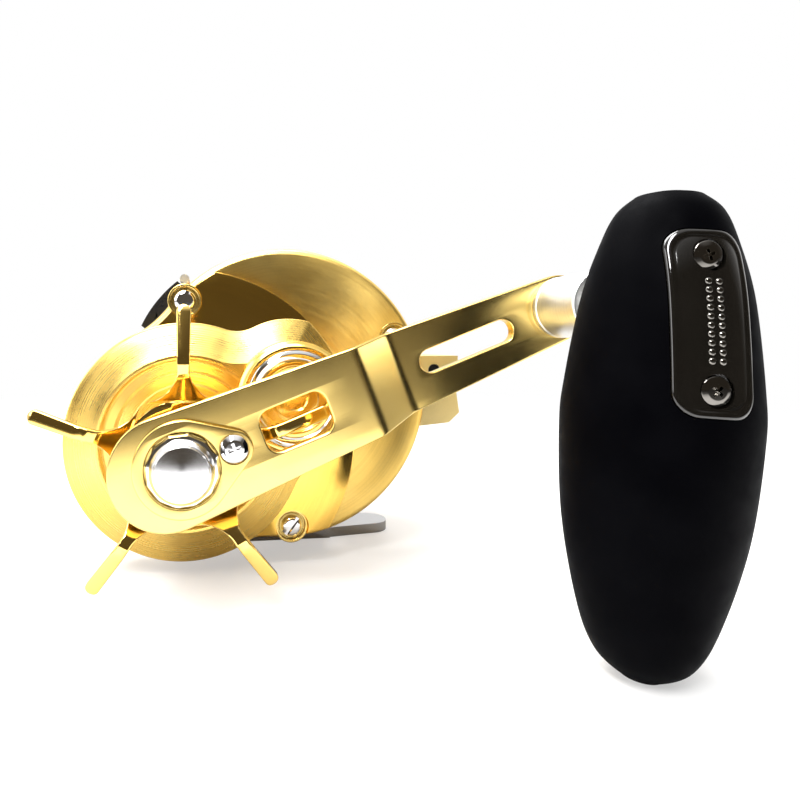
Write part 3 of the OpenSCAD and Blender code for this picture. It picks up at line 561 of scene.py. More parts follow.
def side_plate():
    z0 = WALL_H
    rings = [ring_of(plate_radius, i, z) for i, z in (
        (0.5, z0), (0.15, z0 + 0.12), (0, z0 + 0.45), (0, DISC_H - 1.5), (0.1, DISC_H - 0.95),
        (0.38, DISC_H - 0.42), (0.8, DISC_H - 0.12), (1.35, DISC_H), (6, DISC_H + 0.12))]
    disc = loft("side_plate_disc", rings)
    cavity = loft("cavity", [ring_of(plate_radius, 2.2, z) for z in (z0 - 1, DISC_H - 2)])
    disc = boolean(disc, cavity)
    disc = boolean(disc, cylinder(11.5, DISC_H - 3, DISC_H + 1))
    gears = moved(cylinder(18, DISC_H - 3, DISC_H + 2), to_spool.inverted())
    disc = boolean(disc, gears)
    for x, y, h in SCREWS:
        disc = boolean(disc, cylinder(3.29, z0 - 1, DISC_H + 2, 64, x, y))
    piece("side_plate_disc", disc, axial(SPOOL), "root", "gold_disc",
          ("handle_side_plate",), 28)

    top = COVER_BASE_H
    rings = [ring_of(platform_radius, i, z, 720) for i, z in (
        (0, DISC_H - 0.2), (0, top - 0.35), (0.1, top - 0.1), (0.35, top))]
    platform = loft("side_plate_platform", rings)
    cavity = loft("cavity", [ring_of(platform_radius, 2.6, z) for z in (DISC_H - 1, top - 1.1)])
    platform = boolean(platform, cavity)
    platform = boolean(platform, cylinder(8.2, DISC_H - 2, top + 1))
    for x, y, h in SCREWS[:2]:
        platform = boolean(platform, cylinder(3.28, DISC_H - 2, top + 1, 64,
                                              x + SPOOL.x - DRIVE.x, y + SPOOL.z - DRIVE.z))
    platform = boolean(platform, moved(cylinder(7.98, DISC_H - 2, top + 1), to_spool))
    piece("side_plate_platform", platform, axial(DRIVE), "root", "gold_platform",
          ("handle_side_plate",), 28)

    boss = lathe("knob_boss", rounded([(4.6, DISC_H - 1), (8, DISC_H - 1), (8, 28.4, 0.3),
                                       (1.8, 28.4, 0.2), (1.8, 25.6), (3.5, 25.6), (3.5, 23),
                                       (4.6, 23), (4.6, DISC_H - 1)]))
    piece("knob_boss", boss, axial(SPOOL), "root", "gold_knob",
          ("handle_side_plate",))

    bosses = []
    for x, y, h in SCREWS:
        profile = rounded([(1.35, z0), (3.3, z0), (3.3, h + 0.9, 0.22), (2.72, h + 0.9, 0.2),
                           (2.72, h, 0.1), (1.35, h), (1.35, z0)])
        bosses.append(moved(lathe("boss", profile, 96), Matrix.Translation((x * MM, y * MM, 0))))
    piece("screw_bosses", joined("screw_bosses", bosses), axial(SPOOL), "root", "gold_satin",
          ("handle_side_plate",))


def gear_cover():
    base, top = COVER_BASE_H, COVER_TOP_H
    steps = 720
    # the rim stands straight, turns in to rim_in at rim_h, and the slope runs in to band
    rim_h, rim_in, band = 0.9, 0.42, 6.2
    rings = [ring_of(cover_radius, 0, base, steps), ring_of(cover_radius, 0, base + 0.55, steps)]
    for i, z in ((0.06, 0.72), (0.2, 0.84), (rim_in, rim_h)):
        rings.append(ring_of(cover_radius, i, base + z, steps))
    cuts = 84
    for k in range(1, cuts + 1):
        t = k / cuts
        # faint lines from the cutter
        ripple = 0.016 * math.sin(TAU * k / 6) * math.sin(math.pi * t)
        rings.append(ring_of(cover_radius, rim_in + (band - rim_in) * t,
                             base + rim_h + (top - base - rim_h) * t + ripple, steps))
    edge = [(x, y) for x, y, _ in rings[-1]]
    recess = 15.9
    for t in (0.25, 0.5, 0.75, 1.0):
        ring = []
        for x, y in edge:
            r = math.hypot(x, y)
            k = 1 + ((recess + 0.35) / r - 1) * t
            ring.append((x * k, y * k, top))
        rings.append(ring)
    profile = rounded([(recess + 0.35, top), (recess, top, 0.3), (recess - 0.5, 25.6, 0.5),
                       (13.6, 25.6, 0.2), (13.2, 25.0, 0.4), (11.2, 25.0, 0.2),
                       (10.9, 24.75, 0.2), (8.05, 24.75, 0.2), (8.05, base)], 4)[1:]
    for r, z in profile:
        rings.append([(x * r / math.hypot(x, y), y * r / math.hypot(x, y), z) for x, y in edge])
    cover = loft("gear_cover_shell", rings, closed=True)
    cover = boolean(cover, moved(cylinder(8.1, base - 1, top + 1), to_spool))
    piece("gear_cover_shell", cover, axial(DRIVE), "root", "gold_cover",
          ("gear_cover",), 24)


# ---- screws ----
def screw_mesh(r, height, shank_r, shank, slots, depth, width, dome=0.5, segments=96):
    """A screw head on a shank, with one slot or a cross recess."""
    profile = rounded([(0, -shank), (shank_r, -shank), (shank_r, 0), (r, 0, 0.06),
                       (r, height * (1 - dome), height * 0.4), (r * 0.6, height * 0.92, r * 0.3),
                       (0, height)], 6)
    head = lathe("screw", profile, segments)
    for a in slots:
        cut = loft("slot", [at_height([(-r * 1.5, -width / 2), (r * 1.5, -width / 2),
                                       (r * 1.5, width / 2), (-r * 1.5, width / 2)], z)
                            for z in (height - depth, height + 1)]) if len(slots) == 1 else \
            loft("slot", [[(-r * k, -width / 2 * j, z), (r * k, -width / 2 * j, z),
                           (r * k, width / 2 * j, z), (-r * k, width / 2 * j, z)]
                          for k, j, z in ((0.3, 0.6, height - depth), (0.66, 1.2, height + 1))])
        head = boolean(head, moved(cut, Matrix.Rotation(math.radians(a), 4, "Z")))
    return head


def plate_screws():
    for name, (x, y, h), turn in zip(("side_screw_rear", "side_screw_lower", "side_screw_front"),
                                     SCREWS, (75, 52, 20)):
        mesh = screw_mesh(2.5, 1.5, 1.2, h - 11.7, (turn,), 0.62, 0.75, 0.75)
        place = axial(SPOOL + Vector((x, 0, y)), h + 0.02)
        piece(name, mesh, place, "root", "chrome", ("side_plate_screws",), 30)
    for i, a in enumerate(PALM_SCREW_TURNS):
        x, y = polar(PALM_SCREW_R, math.radians(a))
        mesh = screw_mesh(2.4, 1.55, 1.2, 7.9, (a + 30,), 0.62, 0.75, 0.75)
        place = axial(SPOOL + Vector((x, 0, y)), -19.65) @ Matrix.Rotation(math.pi, 4, "X")
        piece(f"palm_screw_{i + 1}", mesh, place, "root", "chrome",
              ("palm_plate_screws",), 30)


# ---- star, handle, nut ----
def star():
    arms = 5
    hub_r, crest_r, tip_c, tip_w = 9.8, 15.4, 23.85, 1.15
    hub_top, rise, crest_top, fall = 42.4, 3.9, 46.3, 3.0
    thick = 1.8

    def width(r):
        w = 1.0 + 0.15 * max(0.0, (r - crest_r) / (tip_c - crest_r))
        if r < 15.2:
            w = max(w, 6.9 - math.sqrt(max(36 - (r - 15.2) ** 2, 0.0)))
        if r > tip_c:
            w = math.sqrt(max(tip_w ** 2 - (r - tip_c) ** 2, 0.0009))
        return w

    def top(r):
        # the crest is rounded off over a millimetre or so
        worn_off = 0.35 * math.exp(-((r - crest_r) / 1.0) ** 2)
        if r <= crest_r:
            t = max(0.0, (r - 9.2) / (crest_r - 9.2))
            return hub_top + rise * t - worn_off
        t = (r - crest_r) / (tip_c + tip_w - crest_r)
        return crest_top - fall * t - worn_off

    meshes = []
    stations = [9.25 + 0.25 * k for k in range(59)]
    stations = [r for r in stations if r < tip_c] + [tip_c + tip_w * math.sin(
        math.pi / 2 * k / 8) for k in range(8)] + [tip_c + tip_w * 0.999]
    for i in range(arms):
        rings = []
        for r in stations:
            w, high = width(r), top(r)
            low = high - thick
            if r > tip_c:
                shrink = 0.4 * ((r - tip_c) / tip_w) ** 4
                high, low = high - shrink, low + shrink
            c = min(0.32, w * 0.6)
            ring = []
            for cx, cz, a0 in ((w - c, high - c, 0), (c - w, high - c, 90), (c - w, low + c, 180),
                               (w - c, low + c, 270)):
                for k in range(4):
                    a = math.radians(a0 + 30 * k)
                    ring.append((r, cx + c * math.cos(a), cz + c * math.sin(a)))
            rings.append(ring)
        arm = loft("star_arm", rings)
        meshes.append(moved(arm, Matrix.Rotation(math.radians(90 + 360 / arms * i), 4, "Z")))
    hub = lathe("hub", rounded([(4.3, 41), (4.3, hub_top, 0.2), (hub_r, hub_top, 0.3),
                                (hub_r, 40.6, 0.3), (8, 40.6, 0.4), (8, 34, 0.4), (5.45, 34, 0.2),
                                (5.45, 39.6), (4.3, 39.6, 0.1), (4.3, 41)], 4))
    whole = hub
    for arm in meshes:
        whole = boolean(whole, arm, "UNION")
    piece("star_wheel", whole, axial(DRIVE), "star", "gold_polished",
          ("star_drag",), 32)


def handle_arm():
    window = round_box(13.1, 24.0, -3.4, 3.4, 1.95)
    slot = round_box(41.75, 59.15, -1.95, 1.95, 1.9)
    half_flats = 2.32
    bore = [(x, max(-half_flats, min(half_flats, y))) for x, y in circle_points(0, 0, 3.02, 64)]
    outline = taper_outline(8.8, 5.6, ARM_REACH + 2.5, -2.5, 64)
    loops = [outline, window, slot, bore, circle_points(RETAINER_REACH, 0, 0.9, 24),
             circle_points(ARM_REACH, 0, 2.5, 40)]
    mesh = sheet_plate("handle_arm_plate", loops, -2, 0, 0.32, 4)
    bm = bmesh.new()
    bm.from_mesh(mesh)
    # rows of vertices across the two bends
    for k in range(41):
        x = (28.5 + 0.3 * k) * MM
        geometry = bm.verts[:] + bm.edges[:] + bm.faces[:]
        bmesh.ops.bisect_plane(bm, geom=geometry, plane_co=(x, 0, 0), plane_no=(1, 0, 0))
    start, end = 31.0, 38.0
    soft = 0.8
    for v in bm.verts:
        x = v.co.x / MM
        a = bend(x - start, soft) - bend(x - end, soft)
        v.co.z -= ARM_DROP * a / (end - start) * MM
    bm.to_mesh(mesh)
    bm.free()
    piece("handle_arm_plate", mesh, axial(DRIVE, ARM_H, ARM_ANGLE), "handle", "gold_satin",
          ("handle_arm",), 30)


def bend(x, soft):
    """0 left of a bend, x right of it, and a smooth curve within soft of it."""
    if x <= -soft:
        return 0.0
    if x >= soft:
        return x
    return (x + soft) ** 2 / (4 * soft)


def handle_nut():
    points = 12
    rings = []
    corner = 5.6

    def dodecagon(r, z, blunt):
        out = []
        for i in range(points * 8):
            a = TAU * i / (points * 8)
            b = a % (TAU / points) - TAU / points / 2
            flat = r * math.cos(TAU / points / 2) / math.cos(b)
            out.append((*polar(min(flat, blunt), a), z))
        return out

    for r, z, blunt in ((5.3, 0.0, 5.1), (corner, 0.25, corner), (corner, 1.3, corner),
                        (5.3, 1.9, 5.25)):
        rings.append(dodecagon(r, z, blunt))
    ring_circle = [(*polar(4.75, TAU * i / (points * 8)), 2.05) for i in range(points * 8)]
    rings.append(ring_circle)
    flange = loft("flange", rings)
    flange = boolean(flange, cylinder(2.45, -1, 3))
    piece("handle_nut_flange", flange, axial(DRIVE, ARM_H, ARM_ANGLE), "handle", "chrome",
          ("handle_nut",), 12)
    dome = lathe("dome", rounded([(2.45, 1.2), (4.8, 1.2), (4.8, 2.7, 0.3), (4.55, 3.15, 0.3),
                                  (4.2, 3.75, 0.2), (4.05, 3.8, 0.1), (3.95, 4.1, 0.1),
                                  (0.0, 4.9)], 5), 192)
    piece("handle_nut_cap", dome, axial(DRIVE, ARM_H), "handle", "steel_turned",
          ("handle_nut",), 30)


def retainer():
    sunk = 0.7
    loops = [taper_outline(7.4, 2.9, RETAINER_REACH, 0, 48), circle_points(0, 0, 5.65, 96),
             circle_points(RETAINER_REACH, 0, 1.1, 32)]
    mesh = sheet_plate("nut_retainer_plate", loops, 0, RETAINER_THICK, 0.28)
    mesh = boolean(mesh, cylinder(2.35, sunk, 2, 64, RETAINER_REACH))
    piece("nut_retainer_plate", mesh, axial(DRIVE, ARM_H, ARM_ANGLE), "handle", "gold_satin",
          ("nut_retainer",), 30)
    screw = screw_mesh(2.25, 1.05, 0.88, 2.6, (20, 110), 0.75, 0.62, 0.7)
    x, y = polar(RETAINER_REACH, ARM_ANGLE)
    place = axial(DRIVE + Vector((x, 0, y)), ARM_H + sunk + 0.02)
    piece("retainer_screw_head", screw, place, "handle", "chrome",
          ("retainer_screw",), 30)


# ---- spindle and grip ----
def spindle():
    mesh = lathe("spindle", rounded([(0, -2.7), (3.4, -2.7, 0.3), (3.4, -2.0), (2.48, -2.0),
                                     (2.48, 0), (5.2, 0, 0.25), (5.2, 1.0, 0.1), (5.02, 1.1, 0.1),
                                     (5.02, 1.35, 0.1), (5.2, 1.45, 0.1), (5.2, 11.4, 0.5),
                                     (1.98, 11.4), (1.98, 28.5, 0.2), (0, 28.5)], 4), 144)
    piece("spindle_collar", mesh, axial(GRIP_AXIS, SPINDLE_H), "handle", "collar",
          ("knob_spindle",), 30)


GRIP_TOP = 13.3
# distance from the top of the grip, and its radius there
GRIP_DROPS = [(0, 4.1), (2.1, 6.2), (6, 7.8), (13.5, 9.8), (24.8, 11.3), (31.3, 11.6),
              (43.5, 10.7), (54.8, 8.3), (60.7, 5.9), (63.5, 2.5)]
STATIONS = [(GRIP_TOP - drop, r) for drop, r in GRIP_DROPS]
GRIP_END = STATIONS[-1][0]


def grip_profile():
    """(radius, height) down the grip, through the same stations as the CAD solid."""
    last = len(STATIONS) - 1

    def at(i):
        return Vector(STATIONS[max(0, min(last, i))])

    out = []
    for i in range(last):
        a, b, c, d = at(i - 1), at(i), at(i + 1), at(i + 2)
        for k in range(12):
            t = k / 12
            p = 0.5 * (2 * b + (c - a) * t + (2 * a - 5 * b + 4 * c - d) * t * t
                       + (3 * b - a - 3 * c + d) * t ** 3)
            out.append((p.y, p.x))
    out.append((STATIONS[-1][1], STATIONS[-1][0]))
    return out


PROFILE = grip_profile()


def grip_radius(z):
    for (r1, z1), (r2, z2) in zip(PROFILE, PROFILE[1:]):
        if z2 <= z <= z1:
            return r1 + (r2 - r1) * (z1 - z) / (z1 - z2)
    return 0.1


# Height of the grip's long axis, its lean, and the turn of its cap plate to the rear
GRIP_H, GRIP_LEAN, CAP_TURN = 67, 3.8, -8
GRIP_PLACE = Matrix.Translation((GRIP_AXIS.x * MM, -GRIP_H * MM, GRIP_AXIS.z * MM))
# the lean is built into the meshes, so that their boxes stay square to the reel
GRIP_TURN = Matrix.Rotation(math.radians(GRIP_LEAN), 4, "Y") \
    @ Matrix.Rotation(math.radians(CAP_TURN), 4, "Z")
GRIP_HOLD = GRIP_PLACE @ GRIP_TURN
CAP_HIGH, CAP_LOW, CAP_HALF = 7.7, -15.0, 4.8
# height of each cap screw, and the grip's radius there
CAP_SCREWS = (("cap_screw_upper", 4.4, 8.6, 25), ("cap_screw_lower", -11.8, 11.3, 50))


def on_grip(x, z, out):
    """A point out mm in front of the grip's surface, on the side away from the reel."""
    r = grip_radius(z) + out
    return (x, -math.sqrt(max(r * r - x * x, 0.0)), z)


def grip():
    top = [(0, GRIP_TOP + 0.5), (2.0, GRIP_TOP + 0.46), (2.9, GRIP_TOP + 0.35)]
    profile = top + PROFILE + [(1.2, GRIP_END - 0.3), (0, GRIP_END - 0.4)]
    body = lathe("grip_body", profile, 192)
    # seat of the cap plate
    seat = [loop_on_grip(-0.06, -1.25, k / 8) for k in range(1, 8)]
    seat += [loop_on_grip(-0.06, out) for out in (-1.25, 1.5)]
    body = boolean(body, loft("seat", seat))
    # bore of the spindle, and the seats of its two bearings
    spindle_side = GRIP_HOLD.inverted() @ axial(GRIP_AXIS, SPINDLE_H)
    for r, z0, z1 in ((3.2, 0, 30.4), (4.0, 0, 17.45), (4.0, 25.35, 30.4)):
        body = boolean(body, moved(cylinder(r, z0, z1, 64), spindle_side))
    piece("grip_body", moved(body, GRIP_TURN), GRIP_PLACE, "grip", "grip",
          ("grip",), 40)


def loop_on_grip(inset, out, scale=1.0):
    half, mid = CAP_HALF - inset, (CAP_HIGH + CAP_LOW) / 2
    r = max(2.8 - inset, 0.5)
    loop = round_box(-half, half, CAP_LOW + inset, CAP_HIGH - inset, r, 10)
    dense = []
    for (x1, z1), (x2, z2) in zip(loop, loop[1:] + loop[:1]):
        count = max(1, round(math.hypot(x2 - x1, z2 - z1) / 0.6))
        dense += [(x1 + (x2 - x1) * k / count, z1 + (z2 - z1) * k / count) for k in range(count)]
    return [on_grip(x * scale, mid + (z - mid) * scale, out) for x, z in dense]


def cap_plate():
    rings = [loop_on_grip(0.08, -1.1, k / 8) for k in range(1, 8)]
    rings += [loop_on_grip(0.08, out) for out in (-1.1, -0.1)]

    def fitted(inset, out, scale=1.0):
        """The same number of points as the first loop, pulled in by inset."""
        mid = (CAP_HIGH + CAP_LOW) / 2
        fx, fz = 1 - inset / CAP_HALF, 1 - inset / ((CAP_HIGH - CAP_LOW) / 2)
        base = loop_on_grip(0.08, 0)
        return [on_grip(x * fx * scale, mid + (z - mid) * fz * scale, out) for x, _, z in base]

    for inset, out in ((0.02, 0.05), (0.12, 0.13), (0.3, 0.16), (0.62, 0.14), (0.78, 0.03),
                       (0.9, -0.02), (1.1, 0.0)):
        rings.append(fitted(inset, out))
    for k in range(1, 12):
        scale = 1 - k / 12
        rings.append(fitted(1.1, 0.02 * (1 - scale), scale))
    plate = loft("cap_plate", rings)
    for name, z, r, turn in CAP_SCREWS:
        toward = Matrix.Translation((0, 0, z * MM)) @ Matrix.Rotation(math.pi / 2, 4, "X")
        plate = boolean(plate, moved(cylinder(2.0, r - 0.75, r + 3, 64), toward))
    piece("grip_cap_plate", moved(plate, GRIP_TURN), GRIP_PLACE, "grip", "gloss",
          ("grip_plate",), 40)

    # low relief between the screws: a plain double row of beads
    beads = []
    for k in range(10):
        z = 1.1 - 1.05 * k
        for x in (-0.62, 0.62):
            bead = lathe("bead", rounded([(0, -0.25), (0.42, -0.25), (0.42, 0.02, 0.1),
                                          (0.28, 0.14, 0.1), (0, 0.18)], 3), 20)
            r = grip_radius(z)
            turn = math.asin(x / r)
            place = Matrix.Translation((0, 0, z * MM)) @ Matrix.Rotation(turn, 4, "Z") \
                @ Matrix.Translation((0, -r * MM, 0)) @ Matrix.Rotation(math.pi / 2, 4, "X")
            beads.append(moved(bead, place))
    piece("cap_beads", moved(joined("cap_beads", beads), GRIP_TURN), GRIP_PLACE, "grip",
          "black_chrome", (), 40)
    for name, z, r, turn in CAP_SCREWS:
        screw = screw_mesh(1.8, 0.6, 0.88, 1.7, (turn, turn + 90), 0.45, 0.5, 0.5, 64)
        place = GRIP_HOLD @ Matrix.Translation((0, 0, z * MM)) \
            @ Matrix.Rotation(math.pi / 2, 4, "X") @ Matrix.Translation((0, 0, (r - 0.63) * MM))
        piece(name, screw, place, "grip", "black_chrome", ("grip_plate_screws",), 30)


# ---- tension knob ----
def tension_knob():
    teeth = 104
    low, high = 27.9, 31.9

    def knurl(r, z, a):
        if r < 9.9 or not low < z < high:
            return r
        wave = abs(math.sin(teeth / 2 * a)) ** 0.8
        edge = min(1.0, (z - low) / 0.5, (high - z) / 0.5)
        return r - 0.32 * (1 - wave) * edge

    h = 26
    profile = [(8.1, h), (9.4, h, 0.1), (9.4, h + 1), (10.0, h + 1, 0.15), (10.1, h + 1.7, 0.1)]
    profile = rounded(profile + [(10.45, h + 1.9, 0.15), (10.45, h + 2.2)], 3)
    profile += [(10.5, h + 2.4 + 0.5 * k) for k in range(7)]
    profile += rounded([(10.5, h + 5.75), (10.4, h + 6.0, 0.1), (9.9, h + 6.45, 0.3),
                        (9.5, h + 7.1, 0.15), (8.82, h + 7.1, 0.12), (8.8, h + 6.5)], 4)
    profile += rounded([(6.9, h + 6.5), (6.88, h + 7.1, 0.15), (6.0, h + 7.1, 0.2),
                        (5.7, h + 6.75, 0.3), (4.2, h + 6.7, 0.2), (4.0, h + 7.3, 0.25),
                        (2.2, h + 7.45, 0.3), (1.9, h + 7.1, 0.2), (0, h + 7.05)], 4)
    shell = lathe("tension_knob_cap", profile + [(0, h + 4), (2.6, h + 3.4), (2.6, h + 2),
                                                 (8.1, h + 2), (8.1, h)], teeth * 6, knurl)
    piece("tension_knob_cap", shell, axial(SPOOL), "tension_knob", "gold_knob",
          ("tension_knob",), 30)
    z = h + 6.52
    ring = lathe("tension_knob_ring", rounded([(6.95, z), (8.75, z), (8.75, z + 0.6, 0.25),
                                               (8.1, z + 0.95, 0.3), (7.3, z + 0.8, 0.25),
                                               (6.95, z + 0.45, 0.15), (6.95, z)], 5), 192)
    piece("tension_knob_ring", ring, axial(SPOOL), "tension_knob", "chrome",
          ("knob_ring",), 30)


# ---- spool, palm side, springs, worm ----
def spool():
    r = 20.5
    half = [(1.5, 10.9), (6, 10.9, 0.3), (6.6, 9.7, 0.4), (11, 9.75, 0.4), (12, 10.05, 0.4),
            (18.6, 10.25, 0.3), (19, 10.6, 0.3), (20.1, 10.6, 0.25), (r, 10.2, 0.2),
            (r, 9.6, 0.2), (9.5, 8.4, 0.8), (8.5, 7.2, 0.4)]
    profile = rounded(half + [(x, -z, *f) for x, z, *f in reversed(half)], 4)
    mesh = lathe("spool_body", profile + [profile[0]], 192)
    piece("spool_body", mesh, axial(SPOOL), "spool", "gold_spool", ("spool",))


def palm_plate():
    r = PLATE_R
    profile = rounded([(26.4, 0), (r - 0.4, 0), (r, 0.4, 0.3), (r, 6.3, 0.5), (r - 0.9, 7.0, 0.6),
                       (r - 4.5, 8.5, 1.0), (r - 7.2, 9.9, 0.8), (r - 8.2, 10.5, 0.4),
                       (12.5, 10.35, 0.4), (12.0, 10.1, 0.3), (9.0, 10.1, 0.3), (8.6, 10.5, 0.3),
                       (5.0, 10.5, 0.2), (5.0, 8.2), (9.3, 8.2), (9.3, 6.9), (26.4, 6.9),
                       (26.4, 0)], 4)
    mesh = lathe("palm_plate_shell", profile, 192)
    for a in PALM_SCREW_TURNS:
        x, y = polar(PALM_SCREW_R, math.radians(-a))
        mesh = boolean(mesh, cylinder(2.52, 6.1, 12, 64, x, y))
    place = axial(SPOOL, -WALL_H) @ Matrix.Rotation(math.pi, 4, "X")
    piece("palm_plate_shell", mesh, place, "root", "gold_disc",
          ("palm_side_plate",), 28)
    cap = lathe("palm_cap", rounded([(0, 1.25), (2.2, 1.2, 0.3), (2.5, 0.9, 0.2), (4.1, 0.9, 0.2),
                                     (4.5, 1.25, 0.2), (5.9, 1.2, 0.4), (6.6, 0.6, 0.2),
                                     (6.6, 0.05), (4.95, 0.05), (4.95, -4.5), (3.5, -4.5),
                                     (3.5, -0.7), (0, -0.7)], 5), 160)
    place = axial(SPOOL, -24) @ Matrix.Rotation(math.pi, 4, "X")
    piece("palm_cap", cap, place, "root", "steel_turned", ("palm_bearing_cap",))


def worm():
    middle, lead = 16.9, 5.25

    def groove(r, z, a):
        """The crossed grooves: one each way round, which meet at the ends."""
        if r < 2.1 or not 6.4 < z < 27.4:
            return r
        depth = 0.0
        for s in (-1, 1):
            phase = math.remainder(a + s * TAU * (z - middle) / lead, TAU)
            depth = max(depth, 1 - (phase / 0.75) ** 2)
        return r - 0.55 * max(0.0, depth) ** 0.5

    profile = rounded([(0, 0), (1.6, 0, 0.2), (1.6, 5.6), (2.2, 5.6, 0.15), (2.2, 6.3)], 3)
    profile += [(2.2, 6.3 + 0.07 * k) for k in range(1, 303)]
    profile += rounded([(2.2, 27.6), (2.2, 28.2, 0.15), (1.6, 28.2), (1.6, 32.9, 0.2),
                        (0, 32.9)], 3)
    mesh = lathe("worm_screw", profile, 72, groove)
    place = axial(centre("worm_gear"), -middle)
    piece("worm_screw", mesh, place, "worm", "steel", ("worm_shaft",), 40)


# ---- carried-over nodes ----
def refined(name, node, body, finish, width):
    """A CAD node's shape with its flat faces made whole and its edges rounded by width mm."""
    angle = 30
    bm = bmesh.new()
    bm.from_mesh(NODES[node].data)
    bmesh.ops.remove_doubles(bm, verts=bm.verts, dist=1e-6)
    bmesh.ops.dissolve_limit(bm, angle_limit=math.radians(0.5), verts=bm.verts, edges=bm.edges)
    mesh = bpy.data.meshes.new(name)
    bm.to_mesh(mesh)
    bm.free()
    o = piece(name, mesh, Matrix.Identity(4), body, finish, (node,), angle)
    bevel = o.modifiers.new("bevel", "BEVEL")
    bevel.width = width * MM
    bevel.segments = 2
    bevel.limit_method = "ANGLE"
    bevel.angle_limit = math.radians(angle)
    bevel.harden_normals = False


CARRIED = {
    "chrome": ("guide_rod", "foot_rivets", "guide_pawl"),
    "collar": ("thumb_bar_pin",),
    "steel": ("clutch_plate", "pinion_yoke", "yoke_springs", "spool_shaft", "pinion_bearing",
              "palm_bearing", "brake_drum", "drive_shaft", "drag_metal_washers",
              "pressure_washer", "clutch_sleeve", "roller_clutch", "spring_washers",
              "handle_spacer", "grip_bearings", "spindle_screw", "pawl_cap"),
    "brass": ("pinion_gear", "drive_gear", "drive_shaft_bush", "star_nut", "tension_shim"),
    "white_plastic": ("spool_gear", "worm_gear", "idler_gear", "worm_bushes"),
    "black_plastic": ("brake_rotor",),
    "brake_plastic": ("brake_blocks",),
    "carbon": ("drag_friction_washers",),
    "black_steel": ("hood_screws",),
    "ceramic": ("guide_ring",),
}


def dress_nodes():
    """Materials of the CAD nodes that show as they are."""
    for finish, names in CARRIED.items():
        for name in names:
            mesh = NODES[name].data
            mesh.materials.clear()
            mesh.materials.append(MATERIALS[finish])
            smooth(mesh)


def build():
    side_plate()
    gear_cover()
    plate_screws()
    star()
    handle_arm()
    handle_nut()
    retainer()
    spindle()
    grip()
    cap_plate()
    tension_knob()
    spool()
    palm_plate()
    worm()
    refined("hood_block", "level_wind_hood", "root", "gold_hood", 0.3)
    refined("frame_body", "frame", "root", "gold_frame", 0.15)
    refined("foot_plate", "reel_foot", "root", "foot", 0.3)
    refined("thumb_lever", "thumb_bar", "thumb_bar", "black_plastic", 0.25)
    refined("line_guide_body", "line_guide", "line_guide", "black_plastic", 0.2)
    refined("idler_pin_body", "idler_pin", "root", "steel", 0.08)
    dress_nodes()


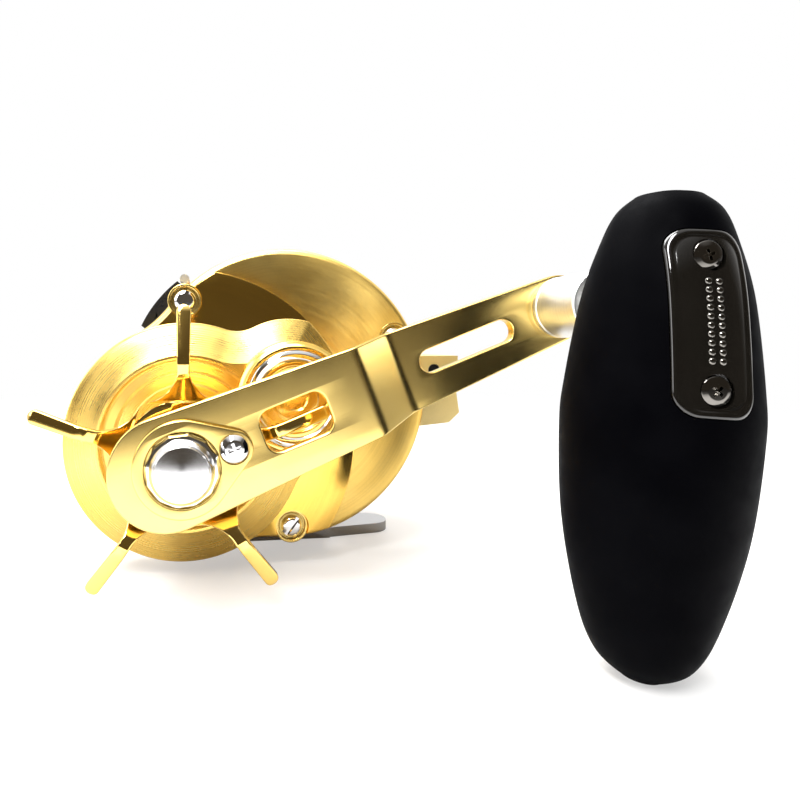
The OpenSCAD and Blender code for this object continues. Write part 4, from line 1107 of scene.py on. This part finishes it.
# ---- floor, light and camera ----
def studio():
    """Floor, backdrop and lights: pale to the camera, partly dark in reflections."""
    floor_mesh = bpy.data.meshes.new("floor")
    size = 12.0
    corners = [(-size, -size, 0), (size, -size, 0), (size, size, 0), (-size, size, 0)]
    floor_mesh.from_pydata(corners, [], [(0, 1, 2, 3)])
    floor = bpy.data.objects.new("floor", floor_mesh)
    bpy.context.scene.collection.objects.link(floor)
    n = Nodes("floor")
    soft = n.mix(n.noise(3, 2), (0.93, 0.925, 0.915), (0.96, 0.955, 0.95))
    parts = n.node("ShaderNodeSeparateXYZ", Vector=n.coords).outputs
    # in reflections only, the floor turns dark from a little in front of the reel (painted shade),
    # and from just in front of the reel onwards it is at 0.4, a painted shadow under the reel; to
    # the camera it stays pale
    painted_floor_shade = n.math("MINIMUM", n.ranged(parts[1], -0.30, -0.16, 0.05, 0.9),
                  n.ranged(parts[1], -0.09, -0.035, 1.0, 0.4))
    seen = n.tree.nodes.new("ShaderNodeLightPath").outputs["Is Camera Ray"]
    shown = n.math("MAXIMUM", painted_floor_shade, seen)
    n.set(Base_Color=n.mix(shown, (0.03, 0.028, 0.025), soft), Roughness=0.55,
          Specular_IOR_Level=0.25, Normal=n.bump(n.noise(700, 2), 0.02, 0.05))
    # and far away it melts into the white backdrop
    length = n.tree.nodes.new("ShaderNodeVectorMath")
    length.operation = "LENGTH"
    n.put(length.inputs[0], n.coords)
    far = n.math("MULTIPLY", n.ranged(length.outputs["Value"], 0.05, 0.4, 0.45, 1.0), seen)
    glow = n.node("ShaderNodeEmission", Color=(1, 1, 1, 1))
    blend = n.tree.nodes.new("ShaderNodeMixShader")
    n.put(blend.inputs[0], far)
    n.put(blend.inputs[1], n.shader.outputs[0])
    n.put(blend.inputs[2], glow.outputs[0])
    n.put(n.tree.nodes["Material Output"].inputs["Surface"], blend.outputs[0])
    floor_mesh.materials.append(n.material)

    world = bpy.data.worlds.new("studio")
    bpy.context.scene.world = world
    world.use_nodes = True
    tree = world.node_tree
    background = tree.nodes["Background"]
    coords = tree.nodes.new("ShaderNodeTexCoord").outputs["Generated"]
    parts = tree.nodes.new("ShaderNodeSeparateXYZ")
    tree.links.new(coords, parts.inputs[0])

    def ramp(value, low, high):
        r = tree.nodes.new("ShaderNodeMapRange")
        r.interpolation_type = "SMOOTHSTEP"
        r.inputs["From Min"].default_value = low
        r.inputs["From Max"].default_value = high
        tree.links.new(value, r.inputs["Value"])
        return r.outputs["Result"]

    def larger(a, b):
        m = tree.nodes.new("ShaderNodeMath")
        m.operation = "MAXIMUM"
        tree.links.new(a, m.inputs[0])
        tree.links.new(b, m.inputs[1])
        return m.outputs[0]

    def mix(factor, a, b):
        m = tree.nodes.new("ShaderNodeMix")
        m.data_type = "RGBA"
        tree.links.new(factor, m.inputs["Factor"])
        for socket, value in ((m.inputs["A"], a), (m.inputs["B"], b)):
            if isinstance(value, bpy.types.NodeSocket):
                tree.links.new(value, socket)
            else:
                socket.default_value = (*value, 1)
        return m.outputs["Result"]

    bright = larger(ramp(parts.outputs[2], 0.55, 0.9), ramp(parts.outputs[1], -0.45, 0.3))
    room = mix(bright, (0.095, 0.08, 0.062), (1.05, 1.04, 1.02))
    seen = tree.nodes.new("ShaderNodeLightPath").outputs["Is Camera Ray"]
    tree.links.new(mix(seen, room, (1.0, 1.0, 1.0)), background.inputs["Color"])
    background.inputs["Strength"].default_value = 1.0

    def softbox(name, place, aim, size, power):
        light = bpy.data.lights.new(name, "AREA")
        light.shape = "RECTANGLE"
        light.size, light.size_y = size
        light.energy = power
        o = bpy.data.objects.new(name, light)
        o.location = place
        o.rotation_euler = (Vector(aim) - Vector(place)).to_track_quat("-Z", "Y").to_euler()
        bpy.context.scene.collection.objects.link(o)

    softbox("top_light", (-0.12, 0.1, 0.55), (0, 0, 0.03), (0.5, 0.4), 7.5)
    softbox("left_light", (-0.55, -0.12, 0.3), (0, -0.02, 0.03), (0.3, 0.4), 1.6)
    softbox("key_light", (-0.16, -0.38, 0.5), (0, -0.02, 0.03), (0.12, 0.26), 3.6)


def camera():
    """Place, turn and shift were fitted to the photograph."""
    cam = bpy.data.cameras.new("camera")
    cam.lens = 27
    cam.sensor_width = 36
    cam.shift_x, cam.shift_y = 0.148, -0.072
    cam.clip_start, cam.clip_end = 0.01, 20
    o = bpy.data.objects.new("camera", cam)
    o.location = (-0.01697, -0.13962, 0.04406)
    o.rotation_euler = (math.pi / 2 + 0.001, 0, -0.134)
    bpy.context.scene.collection.objects.link(o)
    bpy.context.scene.camera = o


build()
studio()
camera()
bpy.context.scene.view_settings.view_transform = "Standard"
